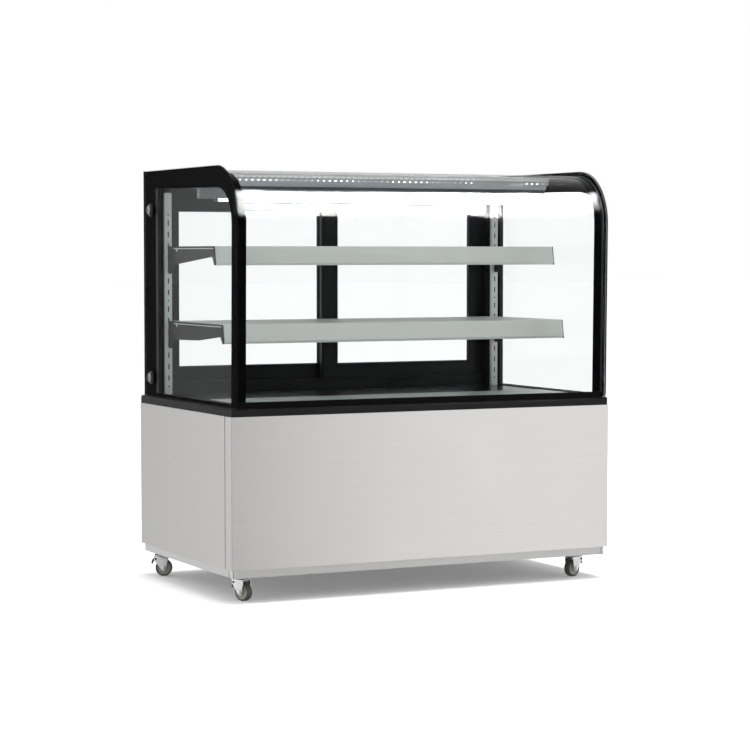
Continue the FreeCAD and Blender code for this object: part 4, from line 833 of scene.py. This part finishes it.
def caster_frame(name):
    """Matrix from a caster's own frame, wheel trailing along X, to the case's frame."""
    places = {joint["name"]: joint["pos_m"] for joint in frame["joints"] if "pos_m" in joint}
    pivot = Vector(places[f"{name}_swivel_turn"])
    axle = Vector(places[f"{name}_wheel_roll"])
    heading = math.atan2(axle.y - pivot.y, axle.x - pivot.x)
    return Matrix.Translation((pivot.x / MM, pivot.y / MM, 0)) @ Matrix.Rotation(heading, 4, "Z")


# sections of the turned pieces are (radius, place along the axis)
TRAIL, AXLE = 12.0, 25.0              # where the axle lies from the swivel's axis, and its height
HEAD_PROFILE = [
    (0, 60.2), (15.6, 60.2), (16.4, 61.2), (16.4, 62.6), (15, 64.4), (13.2, 66.6), (11.6, 69.2), (0, 69.2),
]
CROWN_PLATE = [(-17, -14), (-14, -17), (21, -17), (24, -14), (24, 14), (21, 17), (-14, 17), (-17, 14)]
CROWN_FACES = (57.4, 60.6)
LEG_FACES = (14.4, 17)
LEG_OUTLINE = [(-17, 60.4), (-17, 49)] + arc((TRAIL, AXLE), 8.2, 205, 355, 10) + [(24, 49), (24, 60.4)]
WASHER_PROFILE = [(4, 17), (7, 17), (7, 18), (4.4, 18.2), (4, 18.2)]
NUT_OUTLINE = arc((TRAIL, AXLE), 5.6, 30, 330, 5)
NUT_FACES = (18, 21.4)
AXLE_PROFILE = [(0, -17), (4, -17), (4, 17), (0, 17)]
TREAD_PROFILE = [
    (19.5, -8.6), (21.2, -9.8), (22.6, -10), (24, -9), (24.8, -7.2), (25, -5), (25, 5), (24.8, 7.2),
    (24, 9), (22.6, 10), (21.2, 9.8), (19.5, 8.6), (19.5, -8.6),
]
HUB_PROFILE = [
    (4.2, -12), (7.6, -12), (8.4, -11.2), (9, -7.4), (16.6, -6.2), (17.6, -8.4), (19.4, -8.8),
    (19.6, -8), (19.6, 8), (19.4, 8.8), (17.6, 8.4), (16.6, 6.2), (9, 7.4), (8.4, 11.2), (7.6, 12),
    (4.2, 12), (4.2, -12),
]
PEDAL_OUTLINE = [
    (-7, 56), (-12, 57.2), (-17, 55.6), (-21.4, 51), (-23.8, 45), (-24.8, 37), (-22.6, 35.4),
    (-20.6, 37), (-19.6, 43), (-17, 46.4), (-12, 48), (-7, 49),
]
PEDAL_HALF, RIB_HALF = 10, 8.6
PEDAL_RIBS = (37.5, 40.5, 43.5)
PEDAL_PIVOT = (-11, 0, 52)
PIN_PROFILE = [
    (0, -17.6), (3.4, -17.6), (3.4, -16.9), (2, -16.8), (2, 16.8), (3.4, 16.9), (3.4, 17.6), (0, 17.6),
]


def caster(name):
    """Fork, tread, hub and brake pedal of one caster, built in the caster's own frame."""
    matrix = caster_frame(name)
    centre = (TRAIL, 0, AXLE)
    fork = Shape()
    fork.turned(HEAD_PROFILE, segments=56)
    fork.prism(CROWN_PLATE, "z", *CROWN_FACES, 1.1)
    for way in SIDES.values():
        near, far = sorted(way * y for y in LEG_FACES)
        fork.prism(LEG_OUTLINE, "y", near, far, 0.8)
        fork.turned(WASHER_PROFILE, centre, (0, way, 0), 32)
        near, far = sorted(way * y for y in NUT_FACES)
        fork.prism(NUT_OUTLINE, "y", near, far, 0.5)
    fork.turned(AXLE_PROFILE, centre, (0, 1, 0), 24)
    fork.piece(
        f"{name}_caster_fork", f"{name}_swivel", "zinc_plate", LOOKS["zinc_plate"], [f"{name}_fork"], matrix
    )

    tread = Shape().turned(TREAD_PROFILE, centre, (0, 1, 0), 72)
    tread.piece(
        f"{name}_tread", f"{name}_roller", "wheel_tread", LOOKS["wheel_tread"], [f"{name}_wheel"], matrix
    )
    hub = Shape().turned(HUB_PROFILE, centre, (0, 1, 0), 64)
    hub.piece(f"{name}_hub", f"{name}_roller", "wheel_tread", HUB, (), matrix)

    pedal = Shape().prism(PEDAL_OUTLINE, "y", -PEDAL_HALF, PEDAL_HALF, 0.9)
    for lower in PEDAL_RIBS:
        pedal.block((-25.4, -RIB_HALF, lower), (-23.2, RIB_HALF, lower + 1.3), 0.4)
    pedal.turned(PIN_PROFILE, PEDAL_PIVOT, (0, 1, 0), 20)
    pedal.piece(
        f"{name}_brake_pedal", f"{name}_pedal", "brake_lever", LOOKS["brake_lever"], [f"{name}_brake"], matrix
    )


# ---------------------------------------------------------------- stage


FLOOR_REACH = 60.0
FLOOR_FADE = (3.0, 8.0)               # metres from the case over which the floor's white fades
FLOOR_WHITE, FLOOR_FAR_WHITE = 0.9, 0.56
FLOOR_POLISH = 0.75
GLASS_BOX_PLACE = (0.746, -1.8756, 2.1082)
GLASS_BOX_TURN = (22.52, -3.79, 3.6)
GLASS_BOX_SIZE = (2.1, 2.5)
GLASS_BOX_RADIANCE = 820.0
ROOM_TONES = (                        # compass angle from the staff side, and the room's brightness
    (-180, 0.10), (-165, 0.25), (-140, 0.90), (-60, 1.35), (-28, 1.75), (-22.8, 1.15), (-19, 0.45),
    (10, 0.45), (90, 1.25), (140, 1.15), (148, 1.65), (152, 2.20), (156.5, 0.40), (160, 0.0), (180, 0.0),
)
ROOM_TINT = 1.005
CEILING_BAND = (0.35, 0.8)            # rise of the ray over which the room's walls turn to white
CAMERA_PLACE = (-2.9876, -6.0477, 0.9566)
CAMERA_DOWN, CAMERA_HEADING = 3.05, -26.32
CAMERA_SENSOR, CAMERA_LENS = 36.0, 109.55


def white_floor():
    """Matt white to the camera, and less so far away, where panes are seen against it;
    to other rays a soft mirror, a little darker than the room it mirrors."""
    look = Look("floor_paint")
    away = look.node("ShaderNodeVectorMath", operation="LENGTH")
    look.link(look.place, away.inputs[0])
    fade = look.node("ShaderNodeMapRange")
    fade.inputs["From Min"].default_value, fade.inputs["From Max"].default_value = FLOOR_FADE
    fade.inputs["To Min"].default_value = FLOOR_WHITE
    fade.inputs["To Max"].default_value = FLOOR_FAR_WHITE
    look.link(away.outputs["Value"], fade.inputs["Value"])
    matt = look.node("ShaderNodeBsdfDiffuse")
    look.link(fade.outputs["Result"], matt.inputs["Color"])
    look.bump(look.noise(40.0), 0.02, 0.0002, matt.inputs["Normal"])
    polish = look.node("ShaderNodeBsdfGlossy")
    polish.inputs["Color"].default_value = (FLOOR_POLISH, FLOOR_POLISH, FLOOR_POLISH, 1)
    polish.inputs["Roughness"].default_value = 0.25
    seen = look.node("ShaderNodeLightPath")
    mix = look.node("ShaderNodeMixShader")
    look.link(seen.outputs["Is Camera Ray"], mix.inputs[0])
    look.link(polish.outputs[0], mix.inputs[1])
    look.link(matt.outputs[0], mix.inputs[2])
    look.link(mix.outputs[0], look.output.inputs["Surface"])
    return look.material


def stage():
    """The floor, which is scenery and no part of the case."""
    floor_mesh = bpy.data.meshes.new("floor")
    corners = [(x * FLOOR_REACH, y * FLOOR_REACH, 0) for x, y in ((-1, -1), (1, -1), (1, 1), (-1, 1))]
    floor_mesh.from_pydata(corners, [], [(0, 1, 2, 3)])
    floor = bpy.data.objects.new("floor", floor_mesh)
    bpy.context.scene.collection.objects.link(floor)
    floor_mesh.materials.append(white_floor())
    return floor


def only_light(lamp, lit):
    """Let a lamp reach nothing but the given objects."""
    receivers = bpy.data.collections.new(f"{lamp.name}_receivers")
    for item in lit:
        receivers.objects.link(item)
    lamp.light_linking.receiver_collection = receivers


def softbox(name, place, turn, size, radiance, lit):
    """A lit rectangle of even radiance that reaches nothing but the given objects."""
    data = bpy.data.lights.new(name, "AREA")
    data.shape = "RECTANGLE"
    data.size, data.size_y = size
    data.energy = radiance * math.pi * size[0] * size[1]
    lamp = bpy.data.objects.new(name, data)
    lamp.location = place
    lamp.rotation_euler = [math.radians(angle) for angle in turn]
    bpy.context.scene.collection.objects.link(lamp)
    only_light(lamp, lit)


def floor_light(name, energy, spread, tilt, shadow, floor):
    """A lamp from overhead that lights only the floor, tilted towards the staff's left."""
    data = bpy.data.lights.new(name, "SUN")
    data.energy = energy
    data.angle = math.radians(spread)
    data.use_shadow = shadow
    sun = bpy.data.objects.new(name, data)
    sun.rotation_euler = (0, math.radians(tilt), 0)
    bpy.context.scene.collection.objects.link(sun)
    only_light(sun, [floor])


def studio(floor):
    """The room's surround, the tall box that the bent glass mirrors, and the floor's two lamps."""
    world = bpy.data.worlds.new("studio")
    bpy.context.scene.world = world
    world.use_nodes = True
    nodes, links = world.node_tree.nodes, world.node_tree.links
    nodes.clear()
    output = nodes.new("ShaderNodeOutputWorld")
    place = nodes.new("ShaderNodeTexCoord")
    ways = nodes.new("ShaderNodeSeparateXYZ")
    links.new(place.outputs["Generated"], ways.inputs[0])
    angle = nodes.new("ShaderNodeMath")
    angle.operation = "ARCTAN2"
    links.new(ways.outputs["X"], angle.inputs[0])
    links.new(ways.outputs["Y"], angle.inputs[1])
    turn = nodes.new("ShaderNodeMapRange")
    turn.inputs["From Min"].default_value = -math.pi
    turn.inputs["From Max"].default_value = math.pi
    links.new(angle.outputs[0], turn.inputs["Value"])
    ramp = nodes.new("ShaderNodeValToRGB")
    while len(ramp.color_ramp.elements) < len(ROOM_TONES):
        ramp.color_ramp.elements.new(0.5)
    for element, (degrees, tone) in zip(ramp.color_ramp.elements, ROOM_TONES):
        element.position = (degrees + 180) / 360
        element.color = (tone, tone, tone * ROOM_TINT, 1)
    links.new(turn.outputs["Result"], ramp.inputs["Fac"])
    height = nodes.new("ShaderNodeMapRange")
    height.interpolation_type = "SMOOTHSTEP"
    height.inputs["From Min"].default_value, height.inputs["From Max"].default_value = CEILING_BAND
    links.new(ways.outputs["Z"], height.inputs["Value"])
    dome = nodes.new("ShaderNodeMix")
    dome.data_type = "RGBA"
    links.new(height.outputs["Result"], dome.inputs["Factor"])
    links.new(ramp.outputs["Color"], dome.inputs["A"])
    dome.inputs["B"].default_value = (1.0, 1.0, 1.0, 1)
    surround = nodes.new("ShaderNodeBackground")
    links.new(dome.outputs["Result"], surround.inputs["Color"])
    white = nodes.new("ShaderNodeBackground")
    white.inputs["Color"].default_value = (1, 1, 1, 1)
    seen = nodes.new("ShaderNodeLightPath")
    mix = nodes.new("ShaderNodeMixShader")
    links.new(seen.outputs["Is Camera Ray"], mix.inputs[0])
    links.new(surround.outputs[0], mix.inputs[1])
    links.new(white.outputs[0], mix.inputs[2])
    links.new(mix.outputs[0], output.inputs["Surface"])

    softbox(
        "glass_box", GLASS_BOX_PLACE, GLASS_BOX_TURN, GLASS_BOX_SIZE, GLASS_BOX_RADIANCE,
        [frame["nodes"]["front_glass"]],
    )
    floor_light("floor_sun", energy=2.1, spread=11, tilt=4, shadow=True, floor=floor)
    floor_light("floor_fill", energy=0.6, spread=30, tilt=0, shadow=False, floor=floor)


def camera():
    """The view of the whole case from the customer's side, on its left."""
    data = bpy.data.cameras.new("camera")
    data.sensor_width = CAMERA_SENSOR
    data.lens = CAMERA_LENS
    data.clip_start, data.clip_end = 0.1, 200.0
    item = bpy.data.objects.new("camera", data)
    item.location = CAMERA_PLACE
    item.rotation_euler = (math.radians(90 - CAMERA_DOWN), 0, math.radians(CAMERA_HEADING))
    bpy.context.scene.collection.objects.link(item)
    bpy.context.scene.camera = item


finish_cad_nodes()
glass_details()
fixing_details()
lamp_details()
deck_details()
bracket_details()
rail_details()
door_details()
rear_details()
plinth_details()
for caster_name in CASTERS:
    caster(caster_name)
studio(stage())
camera()
bpy.context.scene.view_settings.view_transform = "Standard"
bpy.context.scene.cycles.transparent_max_bounces = 32
